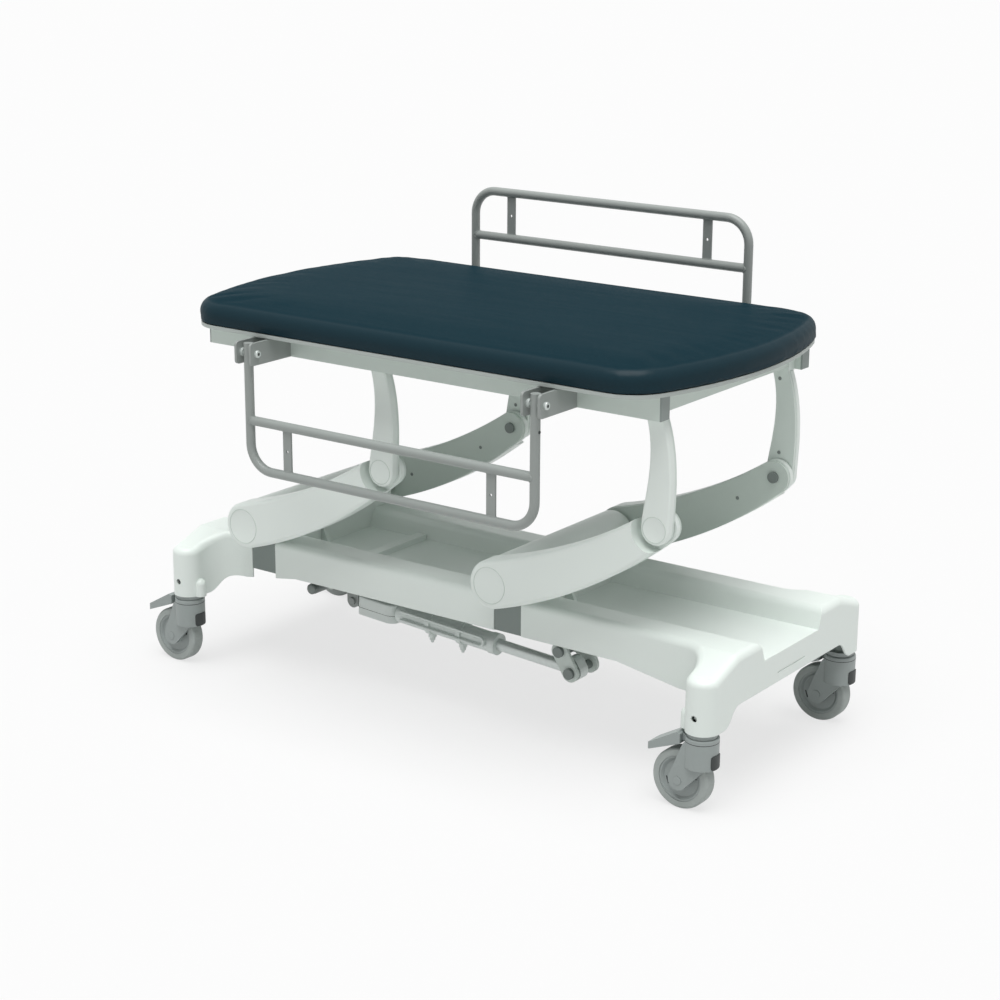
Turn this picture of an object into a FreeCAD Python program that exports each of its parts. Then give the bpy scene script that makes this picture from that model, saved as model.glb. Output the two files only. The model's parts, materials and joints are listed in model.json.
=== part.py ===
import FreeCAD, Part
import math
import os
from FreeCAD import Vector

# Paediatric examination table: a padded top with two folding side rails, carried by
# two pairs of lifting arms on a moulded base with four braked castors.
# X runs along the table, +Y is the far side, Z is up, and the origin is on the floor
# below the middle of the whole table. All sizes are in millimetres.

NEAR, FAR = -1, 1
LEFT, RIGHT = -1, 1
SIDE_NAMES = {NEAR: "near", FAR: "far"}
END_NAMES = {LEFT: "left", RIGHT: "right"}

# Castors
WHEEL_RADIUS = 62.5
WHEEL_WIDTH = 32.0
TYRE_DEPTH = 15.0
TYRE_EDGE = 5.0
CORE_DISH = 5.0
CORE_INSET = 1.5
RIM_WALL = 4.0
HUB_SIDE_GAP = 0.3
HUB_RADIUS = 17.0
AXLE_RADIUS = 6.0
AXLE_LIP = 3.0
AXLE_HEAD = 1.0
CASTOR_TRAIL = 39.0
HOUSING_RADIUS = 34.0
HOUSING_TOP = 158.0
HOUSING_ROOF = 26.0
HOUSING_EDGE = 3.0
HOOD_BOTTOM = 95.0
FORK_ROOT_Z = 124.0
FORK_WALL = 7.0
FORK_GAP = 2.5
FORK_HUB_RADIUS = 21.0
WHEEL_CLEARANCE = 3.0
STEM_RADIUS = 9.0
STEM_LENGTH = 70.0
STEM_FIT = 0.05
STEM_RUNNING_GAP = 0.06
STEM_END_GAP = 0.5
STEM_FLANGE_RADIUS = 30.0
STEM_FLANGE_GAP = 0.6
PEDAL_REACH = 113.0
PEDAL_WIDTH = 46.0
PEDAL_ROOT = 20.0
PEDAL_TIP = 14.0
PEDAL_TIP_DROP = 35.0
PEDAL_CREST = 4.0
PEDAL_CREST_REACH = 11.0
PEDAL_CREST_GAP = 3.0
PEDAL_NECK = 24.0
PEDAL_HUB_RADIUS = 8.0
PEDAL_PIN_RADIUS = 4.0
PEDAL_PIN_END = 4.0
PEDAL_CORNER = 9.0
PEDAL_PIVOT_X = 22.0
PEDAL_PIVOT_DROP = 13.0
PEDAL_CLEARANCE = 0.6

# Base cover, a moulding open underneath
CASTOR_X = 683.5
CASTOR_Y = 284.5
FOOT_RADIUS = 35.0
FOOT_BOTTOM = 168.0
FOOT_TOP = 282.0
FOOT_SLOPE_OUT = 292.0
FOOT_SLOPE_IN = 212.0
BODY_HALF_WIDTH = 205.0
BODY_BOTTOM = 230.0
BODY_TOP = 310.0
BODY_FILLET = 70.0
SKIRT_LOW = 206.0
SKIRT_START = 430.0
ARCH_IN = 205.0
ARCH_OUT = 262.0
COVER_WALL = 4.0
COVER_EDGE = 16.0
VALLEY_HALF = 112.0
VALLEY_DRAFT = 16.0
VALLEY_FLOOR = 268.0
VALLEY_EDGE = 14.0
HUMP_RADIUS = 50.0
HUMP_EDGE = 12.0
RIB_OFFSET = 194.0
RIB_WIDTH = 26.0
RIB_HEIGHT = 12.0
SLOT_HALF = 35.0
BOSS_RADIUS = 13.0
BOSS_TOP = 196.0
SCREW_HOLE_RADIUS = 6.5
SCREW_HOLE_Z = 203.0
END_GROOVE_HALF = 56.0
END_GROOVE_HEIGHT = 3.0
END_GROOVE_Z = 225.0
END_GROOVE_DEPTH = 1.5

# Chassis inside the cover
MEMBER_OUTER = 196.0
MEMBER_WIDTH = 40.0
MEMBER_BOTTOM = 235.0
MEMBER_HEIGHT = 50.0
MEMBER_WALL = 3.0
END_MEMBER_WIDTH = 50.0
END_MEMBER_BOTTOM = 216.0
END_MEMBER_HEIGHT = 46.0
SOCKET_RADIUS = 20.0
SCREW_RADIUS = 5.0
SCREW_LENGTH = 6.0
BEARING_PLATE = 8.0
PLATE_GAP = 0.6
BUSH_WALL = 3.0
BUSH_FLANGE = 4.0

# Lifting arms. The right and left pairs are alike.
ARM_LENGTH = 430.0
ARM_REST_ANGLE = 26.0
ARM_DOWN = 27.0
ARM_UP = 18.0
PIVOT_Z = 353.0
RIGHT_PIVOT = 158.0
PIVOT_SPACING = 682.5
ARM_INNER_Y = 212.0
ARM_PLATE = 8.0
ARM_COVER_OUTER = 270.0
ARM_BASE_RADIUS = 52.0
ARM_KNEE_RADIUS = 36.0
ARM_DIP = 24.0
ARM_BELLY = 67.0
ARM_COVER_WALL = 4.0
ARM_COVER_EDGE = 9.0
ARM_PLATE_INSET = 1.5
KNEE_RECESS_RADIUS = 45.0
KNEE_RECESS_FACE = 232.0
BOSS_DISH_RADIUS = 39.0
BOSS_DISH_DEPTH = 5.0
TUBE_RADIUS = 25.0
TUBE_WALL = 4.0
TUBE_RUNNING_GAP = 0.06
KNEE_BOLT_RADIUS = 10.0
KNEE_HEAD_RADIUS = 12.0
KNEE_HEAD_HEIGHT = 6.0
KNEE_HEAD_GAP = 0.3
KNEE_BOLT_DEPTH = 8.0
BOLT_RUNNING_GAP = 0.06
PLATE_SCREW_RADIUS = 4.0
PLATE_SCREW_AT = (101.0, 327.0)
PLATE_SCREW_DROP = 17.0

# Levers below the torsion tubes
LEVER_PIN_X = 83.0
LEVER_PIN_DROP = 167.0
DRIVE_PIN_X = 110.0
DRIVE_PIN_DROP = 210.0
LEVER_INNER_Y = 50.0
LEVER_PLATE = 10.0
LEVER_WELD = 4.0
LEVER_WINDOW_GAP = 5.0
SIDE_PLATE_OUTER = 132.0
SIDE_PLATE = 7.0
LEVER_EYE_RADIUS = 20.0
LEVER_ROOT_RADIUS = 32.0
LEVER_PIN_RADIUS = 10.0
LEVER_PIN_HEAD = 8.0
LEVER_PIN_LIP = 2.0
LEVER_SLEEVE_RADIUS = 13.0
TIE_ROD_RADIUS = 7.0
TIE_EYE_RADIUS = 18.0
TIE_EYE_WIDTH = 14.0
TIE_ROD_Y = 68.0
TIE_SIDE_GAP = 1.0
TIE_SLEEVE_RADIUS = 10.0
TIE_SLEEVE_LENGTH = 70.0
TIE_SLEEVE_GAP = 4.0

# Legs between the arms and the top frame
LEG_INNER_Y = 234.0
LEG_PLATE = 8.0
LEG_COVER_OUTER = 258.0
LEG_FOOT_RADIUS = 32.0
LEG_DISH_RADIUS = 26.0
LEG_DISH_DEPTH = 4.0
LEG_COVER_EDGE = 5.0
LEG_PLATE_INSET = 1.0
LEG_CURVE_LOW = 40.0
LEG_CURVE_HIGH = 140.0
LEG_BACK_PULL = 3.0
LEG_FRONT_PULL = 46.0
LEG_TOP_BACK = 26.0
LEG_TOP_FRONT = 13.0
LEG_HEIGHT = 225.0
NECK_DROP = 2.0

# Top frame
TOP_SHIFT = -6.5
FRAME_HALF_LENGTH = 577.0
MEMBER_INNER_Y = 260.0
SIDE_MEMBER_WIDTH = 30.0
SIDE_MEMBER_HEIGHT = 50.0
SIDE_MEMBER_WALL = 3.0
SIDE_MEMBER_BOTTOM = 768.0
END_CAP_THICKNESS = 4.0
END_CAP_PLUG = 15.0
END_CAP_GAP = 0.1
END_CAP_EDGE = 1.5
CROSS_WIDTH = 34.0
CROSS_HEIGHT = 40.0
CROSS_WALL = 2.5
CROSS_END = 40.0
BOARD_THICKNESS = 8.0
BOARD_INSET = 12.0
PAD_HALF_LENGTH = 650.0
PAD_HALF_WIDTH = 372.0
PAD_END_BOW = 81.0
PAD_CORNER = 107.0
PAD_THICKNESS = 54.0
PAD_LOWER_EDGE = 8.0
PAD_UPPER_EDGE = 24.0

# Folding side rails
RAIL_SHIFT = -8.0
RAIL_HALF_LENGTH = 367.5
RAIL_Y = 396.5
RAIL_PIVOT_Z = 792.0
RAIL_TUBE_RADIUS = 10.0
RAIL_TUBE_WALL = 1.5
RAIL_HEIGHT = 251.0
RAIL_MID_HEIGHT = 145.0
RAIL_BEND = 56.0
RAIL_TAIL = 21.0
STRAP_OFFSET = 264.0
STRAP_WIDTH = 22.0
STRAP_THICKNESS = 4.0
STRAP_HOLE_RADIUS = 3.2
CHEEK_INNER = 17.0
CHEEK_THICKNESS = 6.0
CHEEK_HALF_HEIGHT = 24.0
CHEEK_REACH = 18.0
CHEEK_CORNER = 8.0
BRACKET_BACK = 5.0
RAIL_BOLT_RADIUS = 5.0
RAIL_BOLT_GAP = 0.06
RAIL_BOLT_HEAD = 8.0
RAIL_BOLT_HEAD_HEIGHT = 6.0
RAIL_HEAD_EDGE = 2.0
RAIL_NUT = 5.0
RAIL_NUT_RADIUS = 7.5
RAIL_SPACER_RADIUS = 9.0
RAIL_SPACER_GAP = 0.3
PLUNGER_RADIUS = 5.0
PLUNGER_LENGTH = 9.0
PLUNGER_DROP = 15.0

# Actuator
ACTUATOR_Y = 106.0
REAR_PIVOT_X = -330.0
REAR_PIVOT_Z = 178.0
ACTUATOR_TUBE_RADIUS = 22.0
ACTUATOR_TUBE_WALL = 4.0
ACTUATOR_TUBE_LENGTH = 396.0
ROD_RADIUS = 13.0
ROD_LENGTH = 300.0
ROD_GAP = 0.08
MOTOR_START = 20.0
MOTOR_LENGTH = 104.0
MOTOR_WIDTH = 54.0
MOTOR_RISE = 20.0
MOTOR_DROP = 25.0
MOTOR_NOSE = 24.0
MOTOR_HEEL = 8.0
MOTOR_EDGE = 4.0
MOUTH_RING = 2.0
MOUTH_LENGTH = 18.0
REAR_PIN_RADIUS = 8.0
REAR_EAR = 9.0
REAR_EAR_GAP = 0.5
REAR_EAR_RADIUS = 16.0
REAR_PIN_END = 5.0
REAR_EYE_WIDTH = 20.0
REAR_EYE_RADIUS = 14.0
REAR_MEMBER_WIDTH = 40.0
REAR_MEMBER_HEIGHT = 25.0
REAR_MEMBER_BOTTOM = 237.0
CLAMP_AT = (215.0, 300.0)
CLAMP_WIDTH = 12.0
CLAMP_WALL = 4.0
CLAMP_LUG = 14.0
CLAMP_BOLT = 3.5
CLAMP_BOLT_DROP = 12.0
CLAMP_NUT = 6.0
CLAMP_NUT_LIP = 3.0
ROD_EYE_WIDTH = 28.0
ROD_EYE_RADIUS = 20.0
PLAY_BACK = 6.8
PLAY_UP = 9.7
PLAY_GAP = 0.9

# Derived places
BASE_X = (PEDAL_REACH - FOOT_RADIUS) / 2
PIVOT_X = {RIGHT: BASE_X + RIGHT_PIVOT, LEFT: BASE_X + RIGHT_PIVOT - PIVOT_SPACING}
KNEE_X = {end: x + ARM_LENGTH * math.cos(math.radians(ARM_REST_ANGLE)) for end, x in PIVOT_X.items()}
KNEE_Z = PIVOT_Z + ARM_LENGTH * math.sin(math.radians(ARM_REST_ANGLE))
TOP_X = BASE_X + TOP_SHIFT
RAIL_X = BASE_X + RAIL_SHIFT
FRAME_TOP = SIDE_MEMBER_BOTTOM + SIDE_MEMBER_HEIGHT
BOARD_TOP = FRAME_TOP + BOARD_THICKNESS
PAD_TOP = BOARD_TOP + PAD_THICKNESS


def box(x0, x1, y0, y1, z0, z1):
    """A block between two corners, given in any order."""
    low = Vector(min(x0, x1), min(y0, y1), min(z0, z1))
    return Part.makeBox(abs(x1 - x0), abs(y1 - y0), abs(z1 - z0), low)


def round_bar(start, end, radius):
    """A round bar from one point to another."""
    run = end - start
    return Part.makeCylinder(radius, run.Length, start, run)


def bar_y(x, z, radius, y0, y1):
    return round_bar(Vector(x, min(y0, y1), z), Vector(x, max(y0, y1), z), radius)


def bar_x(y, z, radius, x0, x1):
    return round_bar(Vector(min(x0, x1), y, z), Vector(max(x0, x1), y, z), radius)


def bar_z(x, y, radius, z0, z1):
    return round_bar(Vector(x, y, min(z0, z1)), Vector(x, y, max(z0, z1)), radius)


def line(a, b):
    return Part.LineSegment(a, b).toShape()


def arc(a, mid, b):
    return Part.Arc(a, mid, b).toShape()


def loop(edges):
    return Part.Wire(Part.sortEdges(edges)[0])


def slab_y(wire, y0, y1):
    """Extrudes a wire drawn in the plane Y = 0 between two Y values."""
    low, high = sorted((y0, y1))
    face = Part.Face(wire)
    face.translate(Vector(0, low, 0))
    return face.extrude(Vector(0, high - low, 0))


def polygon(points):
    return Part.makePolygon(points + [points[0]])


def fuse(solids):
    return solids[0].multiFuse(solids[1:]).removeSplitter() if len(solids) > 1 else solids[0]


def mirror_y(shape, side):
    """Pieces are drawn on the far side, and the near one is its mirror image."""
    return shape if side == FAR else shape.mirror(Vector(0, 0, 0), Vector(0, 1, 0))


def save(name, solids):
    solids = solids if isinstance(solids, list) else [solids]
    shape = solids[0] if len(solids) == 1 else Part.makeCompound(solids)
    shape.exportStep("parts/" + name + ".step")


def link(a, b, y0, y1):
    """A flat link round two circles, each given as (x, z, radius), with tangent sides."""
    (ax, az, ar), (bx, bz, br) = a, b
    span = math.hypot(bx - ax, bz - az)
    heading = math.atan2(bz - az, bx - ax)
    spread = math.acos((ar - br) / span)
    touches = []
    for x, z, r, angle in ((ax, az, ar, heading + spread), (bx, bz, br, heading + spread),
                           (bx, bz, br, heading - spread), (ax, az, ar, heading - spread)):
        touches.append(Vector(x + r * math.cos(angle), 0, z + r * math.sin(angle)))
    a_back = Vector(ax - ar * math.cos(heading), 0, az - ar * math.sin(heading))
    b_tip = Vector(bx + br * math.cos(heading), 0, bz + br * math.sin(heading))
    edges = [line(touches[0], touches[1]), arc(touches[1], b_tip, touches[2]),
             line(touches[2], touches[3]), arc(touches[3], a_back, touches[0])]
    return slab_y(loop(edges), y0, y1)


def lifted(shape, end, angle=ARM_REST_ANGLE):
    """Turns a piece drawn level about its base pivot, so that its +X side goes up."""
    shape.rotate(Vector(PIVOT_X[end], 0, PIVOT_Z), Vector(0, 1, 0), -angle)
    return shape


def cover_plan(inset):
    """The H-shaped plan of the base: a long body, two end beams and rounded feet."""
    outer = BASE_X
    width = BODY_HALF_WIDTH - inset
    foot = FOOT_RADIUS - inset
    inner_x = CASTOR_X - foot
    bend = BODY_FILLET + inset
    bend_x = inner_x - bend
    bend_y = width + bend
    edges = []
    for sx in (LEFT, RIGHT):
        def at(x, y, side):
            return Vector(outer + sx * x, side * y, 0)
        end_x = CASTOR_X + foot
        edges.append(line(at(end_x, CASTOR_Y, NEAR), at(end_x, CASTOR_Y, FAR)))
        for side in (NEAR, FAR):
            tip = at(CASTOR_X, CASTOR_Y + foot, side)
            edges.append(arc(at(end_x, CASTOR_Y, side), tip, at(inner_x, CASTOR_Y, side)))
            edges.append(line(at(inner_x, CASTOR_Y, side), at(inner_x, bend_y, side)))
            mid = at(bend_x + bend * math.sqrt(0.5), bend_y - bend * math.sqrt(0.5), side)
            edges.append(arc(at(inner_x, bend_y, side), mid, at(bend_x, width, side)))
    for side in (NEAR, FAR):
        edges.append(line(Vector(outer - bend_x, side * width, 0), Vector(outer + bend_x, side * width, 0)))
    return loop(edges)


def slab_z(wire, z0, z1):
    face = Part.Face(wire)
    face.translate(Vector(0, 0, z0))
    return face.extrude(Vector(0, 0, z1 - z0))


def slab_x(points, x0, x1):
    """Extrudes a polygon of (y, z) points between two X values."""
    face = Part.Face(polygon([Vector(x0, y, z) for y, z in points]))
    return face.extrude(Vector(x1 - x0, 0, 0))


def foot_slopes(inset):
    """What lies above the low feet: a flat at each end and a ramp up to the body."""
    reach = CASTOR_Y + 2 * FOOT_RADIUS
    low, high = FOOT_TOP - inset, BODY_TOP - inset
    above = BODY_TOP + HUMP_RADIUS
    length = CASTOR_X + 2 * FOOT_RADIUS
    cuts = []
    for side in (NEAR, FAR):
        points = [(reach, low), (FOOT_SLOPE_OUT, low), (FOOT_SLOPE_IN, high), (FOOT_SLOPE_IN, above),
                  (reach, above)]
        cuts.append(slab_x([(side * y, z) for y, z in points], BASE_X - length, BASE_X + length))
    return cuts


def arch_cut():
    """The open arch between the feet. It runs right through, so both walls of an end
    beam have the same lower edge."""
    drop = FOOT_BOTTOM - 1
    mid = (ARCH_IN + ARCH_OUT) / 2
    length = CASTOR_X + 2 * FOOT_RADIUS
    edges = []
    for side in (NEAR, FAR):
        poles = [Vector(0, side * ARCH_OUT, FOOT_BOTTOM), Vector(0, side * mid, FOOT_BOTTOM),
                 Vector(0, side * mid, SKIRT_LOW), Vector(0, side * ARCH_IN, SKIRT_LOW)]
        curve = Part.BezierCurve()
        curve.setPoles(poles)
        edges.append(curve.toShape())
        edges.append(line(poles[0], Vector(0, side * ARCH_OUT, drop)))
    edges.append(line(Vector(0, -ARCH_IN, SKIRT_LOW), Vector(0, ARCH_IN, SKIRT_LOW)))
    edges.append(line(Vector(0, -ARCH_OUT, drop), Vector(0, ARCH_OUT, drop)))
    face = Part.Face(loop(edges))
    face.translate(Vector(BASE_X - length, 0, 0))
    return face.extrude(Vector(2 * length, 0, 0))


def skirt_cut():
    """What lies below the body's lower edge, which dips towards the end beams."""
    drop = FOOT_BOTTOM - 1
    dip = CASTOR_X - FOOT_RADIUS - BODY_FILLET
    points = [(-dip, drop), (-dip, SKIRT_LOW), (-SKIRT_START, BODY_BOTTOM),
              (SKIRT_START, BODY_BOTTOM), (dip, SKIRT_LOW), (dip, drop)]
    wire = polygon([Vector(BASE_X + x, 0, z) for x, z in points])
    return slab_y(wire, -BODY_HALF_WIDTH - 1, BODY_HALF_WIDTH + 1)


def valley_cut(inset):
    """The tray along the middle: a flat floor, sloping sides and rounded brims."""
    length = CASTOR_X + 2 * FOOT_RADIUS
    floor = VALLEY_FLOOR - inset
    brim = BODY_TOP - inset
    foot_y = VALLEY_HALF + inset
    brim_y = foot_y + VALLEY_DRAFT
    flare = VALLEY_EDGE
    edges = []
    for side in (NEAR, FAR):
        slope = Vector(0, VALLEY_DRAFT, BODY_TOP - VALLEY_FLOOR).normalize()
        corner = Vector(0, brim_y, brim)
        low = corner - slope * flare
        out = corner + Vector(0, flare, 0)
        way = low - corner + out - corner
        lean = way.Length / (2 * flare)
        mid = corner + way.normalize() * flare * (1 - math.sqrt(1 - lean ** 2)) / lean
        points = [Vector(0, side * p.y, p.z) for p in (Vector(0, foot_y, floor), low, mid, out)]
        edges.append(line(points[0], points[1]))
        edges.append(arc(points[1], points[2], points[3]))
        edges.append(line(points[3], Vector(0, points[3].y, brim + HUMP_RADIUS)))
    edges.append(line(Vector(0, -foot_y, floor), Vector(0, foot_y, floor)))
    top = brim + HUMP_RADIUS
    edges.append(line(Vector(0, -brim_y - flare, top), Vector(0, brim_y + flare, top)))
    face = Part.Face(loop(edges))
    face.translate(Vector(BASE_X - length, 0, 0))
    return face.extrude(Vector(2 * length, 0, 0))


def hump(end, inset, drop):
    """The round-topped tunnel over a torsion tube."""
    radius = HUMP_RADIUS - inset
    width = BODY_HALF_WIDTH - inset
    x = PIVOT_X[end]
    barrel = bar_y(x, PIVOT_Z, radius, -width, width)
    if inset == 0:
        barrel = barrel.makeFillet(HUMP_EDGE, [e for e in barrel.Edges if e.BoundBox.YLength < 1])
    skirt = box(x - radius, x + radius, -width + HUMP_EDGE, width - HUMP_EDGE, drop, PIVOT_Z)
    return [barrel, skirt, box(x - radius, x + radius, -width, width, drop, BODY_TOP - COVER_EDGE)]


def rounded_body(inset, bottom):
    """The base's outer form, or the hollow inside it, with rounded upper edges."""
    body = slab_z(cover_plan(inset), bottom, BODY_TOP - inset).cut(foot_slopes(inset)).Solids[0]
    brim = [e for e in body.Edges if e.BoundBox.ZMin > FOOT_TOP - inset - 1 and on_outline(body, e)]
    return body.makeFillet(COVER_EDGE - inset, brim)


def base_cover():
    shell = rounded_body(0, FOOT_BOTTOM).cut([arch_cut(), skirt_cut(), valley_cut(0)])
    humps = []
    for end in (LEFT, RIGHT):
        humps += hump(end, 0, VALLEY_FLOOR - COVER_WALL)
    rib_x = PIVOT_X[LEFT] + RIB_OFFSET
    humps.append(box(rib_x, rib_x + RIB_WIDTH, -VALLEY_HALF, VALLEY_HALF,
                     VALLEY_FLOOR - COVER_WALL, VALLEY_FLOOR + RIB_HEIGHT))
    shell = shell.fuse(humps)
    hollow = rounded_body(COVER_WALL, FOOT_BOTTOM - 1).cut(valley_cut(COVER_WALL))
    tunnels = []
    for end in (LEFT, RIGHT):
        tunnels += hump(end, COVER_WALL, FOOT_BOTTOM - 1)
    shell = shell.cut([hollow] + tunnels)
    return shell.fuse(foot_bosses()).cut(cover_openings() + lever_windows()).removeSplitter()


def on_outline(shell, edge):
    """True for an edge between an upright wall and a face on top."""
    upright = 0
    for face in shell.ancestorsOfType(edge, Part.Face):
        u0, u1, v0, v1 = face.ParameterRange
        if abs(face.normalAt((u0 + u1) / 2, (v0 + v1) / 2).z) < 0.01:
            upright += 1
    return upright == 1


def foot_bosses():
    """A round-topped rib on each foot's inner wall, for the castor's fixing screw."""
    bosses = []
    for end in (LEFT, RIGHT):
        for side in (NEAR, FAR):
            x = BASE_X + end * (CASTOR_X - FOOT_RADIUS)
            y = side * CASTOR_Y
            rib = bar_z(x, y, BOSS_RADIUS, FOOT_BOTTOM, BOSS_TOP)
            dome = Part.makeSphere(BOSS_RADIUS, Vector(x, y, BOSS_TOP))
            bosses.append(rib.fuse(dome))
    return bosses


def cover_openings():
    """The slots for the arms' pivots, the screw holes in the feet and the end grooves."""
    openings = []
    reach = CASTOR_Y + 2 * FOOT_RADIUS
    for x in PIVOT_X.values():
        for side in (NEAR, FAR):
            inner = side * (BODY_HALF_WIDTH - HUMP_RADIUS / 2)
            outer = side * (BODY_HALF_WIDTH + HUMP_RADIUS / 2)
            openings.append(box(x - SLOT_HALF, x + SLOT_HALF, inner, outer, FOOT_BOTTOM, PIVOT_Z))
            openings.append(bar_y(x, PIVOT_Z, SLOT_HALF, inner, outer))
    for end in (LEFT, RIGHT):
        x = BASE_X + end * CASTOR_X
        for side in (NEAR, FAR):
            openings.append(bar_y(x, SCREW_HOLE_Z, SCREW_HOLE_RADIUS, side * CASTOR_Y, side * reach))
        face = BASE_X + end * (CASTOR_X + FOOT_RADIUS)
        openings.append(box(face - end * END_GROOVE_DEPTH, face + end, -END_GROOVE_HALF, END_GROOVE_HALF,
                            END_GROOVE_Z, END_GROOVE_Z + END_GROOVE_HEIGHT))
    return openings


def lever_windows():
    """What each lever sweeps through the tray and the hump, with a gap all round."""
    gap = LEVER_WINDOW_GAP
    reach = LEVER_ROOT_RADIUS + gap
    fall = 2 * (PIVOT_Z - VALLEY_FLOOR)
    heading = math.atan2(-LEVER_PIN_DROP, LEVER_PIN_X)
    windows = []
    for x in PIVOT_X.values():
        rays = []
        for swing, side in ((-ARM_DOWN, -1), (ARM_UP, 1)):
            angle = heading + math.radians(swing)
            start = Vector(x - side * reach * math.sin(angle), 0, PIVOT_Z + side * reach * math.cos(angle))
            rays.append([start, start + Vector(math.cos(angle), 0, math.sin(angle)) * fall])
        wire = polygon([rays[0][0], rays[0][1], rays[1][1], rays[1][0]])
        windows.append(slab_y(wire, -LEVER_INNER_Y - LEVER_PLATE - gap, -LEVER_INNER_Y + gap))
    return windows


def tube_x(x0, x1, y0, y1, z0, z1, wall):
    """A rectangular tube along X, open at its ends."""
    y0, y1 = sorted((y0, y1))
    return box(x0, x1, y0, y1, z0, z1).cut(box(x0 - 1, x1 + 1, y0 + wall, y1 - wall, z0 + wall, z1 - wall))


def tube_y(x0, x1, y0, y1, z0, z1, wall):
    """A rectangular tube along Y, open at its ends."""
    x0, x1 = sorted((x0, x1))
    return box(x0, x1, y0, y1, z0, z1).cut(box(x0 + wall, x1 - wall, y0 - 1, y1 + 1, z0 + wall, z1 - wall))


def corners():
    """The four corners of the base, each as (end, side)."""
    return [(end, side) for end in (LEFT, RIGHT) for side in (NEAR, FAR)]


def castor_place(end, side):
    return BASE_X + end * CASTOR_X, side * CASTOR_Y


def chassis_frame():
    """The welded frame inside the cover: two long members, two end members, the
    castor sockets and the four bearing plates that show in the cover's slots."""
    end_x = CASTOR_X - END_MEMBER_WIDTH / 2
    end_top = END_MEMBER_BOTTOM + END_MEMBER_HEIGHT
    parts = []
    for side in (NEAR, FAR):
        parts.append(tube_x(BASE_X - end_x, BASE_X + end_x, side * (MEMBER_OUTER - MEMBER_WIDTH),
                            side * MEMBER_OUTER, MEMBER_BOTTOM, MEMBER_BOTTOM + MEMBER_HEIGHT, MEMBER_WALL))
    for end in (LEFT, RIGHT):
        x0, x1 = BASE_X + end * end_x, BASE_X + end * (end_x + END_MEMBER_WIDTH)
        parts.append(tube_y(x0, x1, -CASTOR_Y, CASTOR_Y, END_MEMBER_BOTTOM, end_top, MEMBER_WALL))
    for end, side in corners():
        x, y = castor_place(end, side)
        parts.append(bar_z(x, y, SOCKET_RADIUS, FOOT_BOTTOM, end_top))
        parts.append(bearing_plate(end, side))
    bores = []
    for end, side in corners():
        x, y = castor_place(end, side)
        bores.append(bar_z(x, y, STEM_RADIUS + STEM_FIT, FOOT_BOTTOM - 1, FOOT_BOTTOM + STEM_LENGTH))
        bores.append(bar_y(x, SCREW_HOLE_Z, SCREW_RADIUS, y, y + side * (SOCKET_RADIUS + 1)))
    return fuse(parts).cut(bores)


def bearing_plate(end, side):
    """An upright plate in a slot of the cover, with a round top and the bush's bore."""
    half = SLOT_HALF - PLATE_GAP
    x = PIVOT_X[end]
    inner, outer = side * MEMBER_OUTER, side * (MEMBER_OUTER + BEARING_PLATE)
    plate = box(x - half, x + half, inner, outer, BODY_BOTTOM + 1, PIVOT_Z)
    plate = plate.fuse(bar_y(x, PIVOT_Z, half, inner, outer))
    return plate.cut(bar_y(x, PIVOT_Z, TUBE_RADIUS + BUSH_WALL, inner - side, outer + side))


def pivot_bushes():
    """Flanged bushes that carry the torsion tubes in the bearing plates."""
    bushes = []
    for end, side in corners():
        x = PIVOT_X[end]
        inner = side * MEMBER_OUTER
        face = side * (MEMBER_OUTER + BEARING_PLATE)
        flange = face + side * BUSH_FLANGE
        sleeve = bar_y(x, PIVOT_Z, TUBE_RADIUS + BUSH_WALL, inner, flange)
        collar = bar_y(x, PIVOT_Z, TUBE_RADIUS + BUSH_WALL + BUSH_FLANGE, face, flange)
        bore = bar_y(x, PIVOT_Z, TUBE_RADIUS + TUBE_RUNNING_GAP, inner - side, flange + side)
        bushes.append(fuse([sleeve, collar]).cut(bore))
    return bushes


def actuator_bracket():
    """A cross member between the long members, with two ears for the actuator's rear pin."""
    x = BASE_X + REAR_PIVOT_X
    half = REAR_MEMBER_WIDTH / 2
    reach = MEMBER_OUTER - MEMBER_WIDTH
    bottom = REAR_MEMBER_BOTTOM
    parts = [tube_y(x - half, x + half, -reach, reach, bottom, bottom + REAR_MEMBER_HEIGHT, MEMBER_WALL)]
    inner = REAR_EYE_WIDTH / 2 + REAR_EAR_GAP
    for side in (NEAR, FAR):
        y0, y1 = -ACTUATOR_Y + side * inner, -ACTUATOR_Y + side * (inner + REAR_EAR)
        ear = box(x - REAR_EAR_RADIUS, x + REAR_EAR_RADIUS, y0, y1, REAR_PIVOT_Z, bottom)
        parts.append(ear.fuse(bar_y(x, REAR_PIVOT_Z, REAR_EAR_RADIUS, y0, y1)))
    reach = inner + REAR_EAR
    parts.append(bar_y(x, REAR_PIVOT_Z, REAR_PIN_RADIUS, -ACTUATOR_Y - reach - REAR_PIN_END,
                       -ACTUATOR_Y + reach + REAR_PIN_END))
    return fuse(parts)


def foot_screws():
    """Screws that lock the castor stems, deep in the holes of the feet."""
    screws = []
    for end, side in corners():
        x, y = castor_place(end, side)
        tip = y + side * (SOCKET_RADIUS + SCREW_LENGTH)
        screws.append(bar_y(x, SCREW_HOLE_Z, SCREW_RADIUS, y + side * (STEM_RADIUS + STEM_FIT), tip))
    return screws


def castor_stems():
    """The flange under each foot, with a spigot up into the socket and one down."""
    stems = []
    for end, side in corners():
        x, y = castor_place(end, side)
        flange = bar_z(x, y, STEM_FLANGE_RADIUS, HOUSING_TOP + STEM_FLANGE_GAP, FOOT_BOTTOM)
        low = HOUSING_TOP - HOUSING_ROOF + STEM_END_GAP
        spigot = bar_z(x, y, STEM_RADIUS, low, FOOT_BOTTOM + STEM_LENGTH)
        stems.append(flange.fuse(spigot))
    return stems


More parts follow.
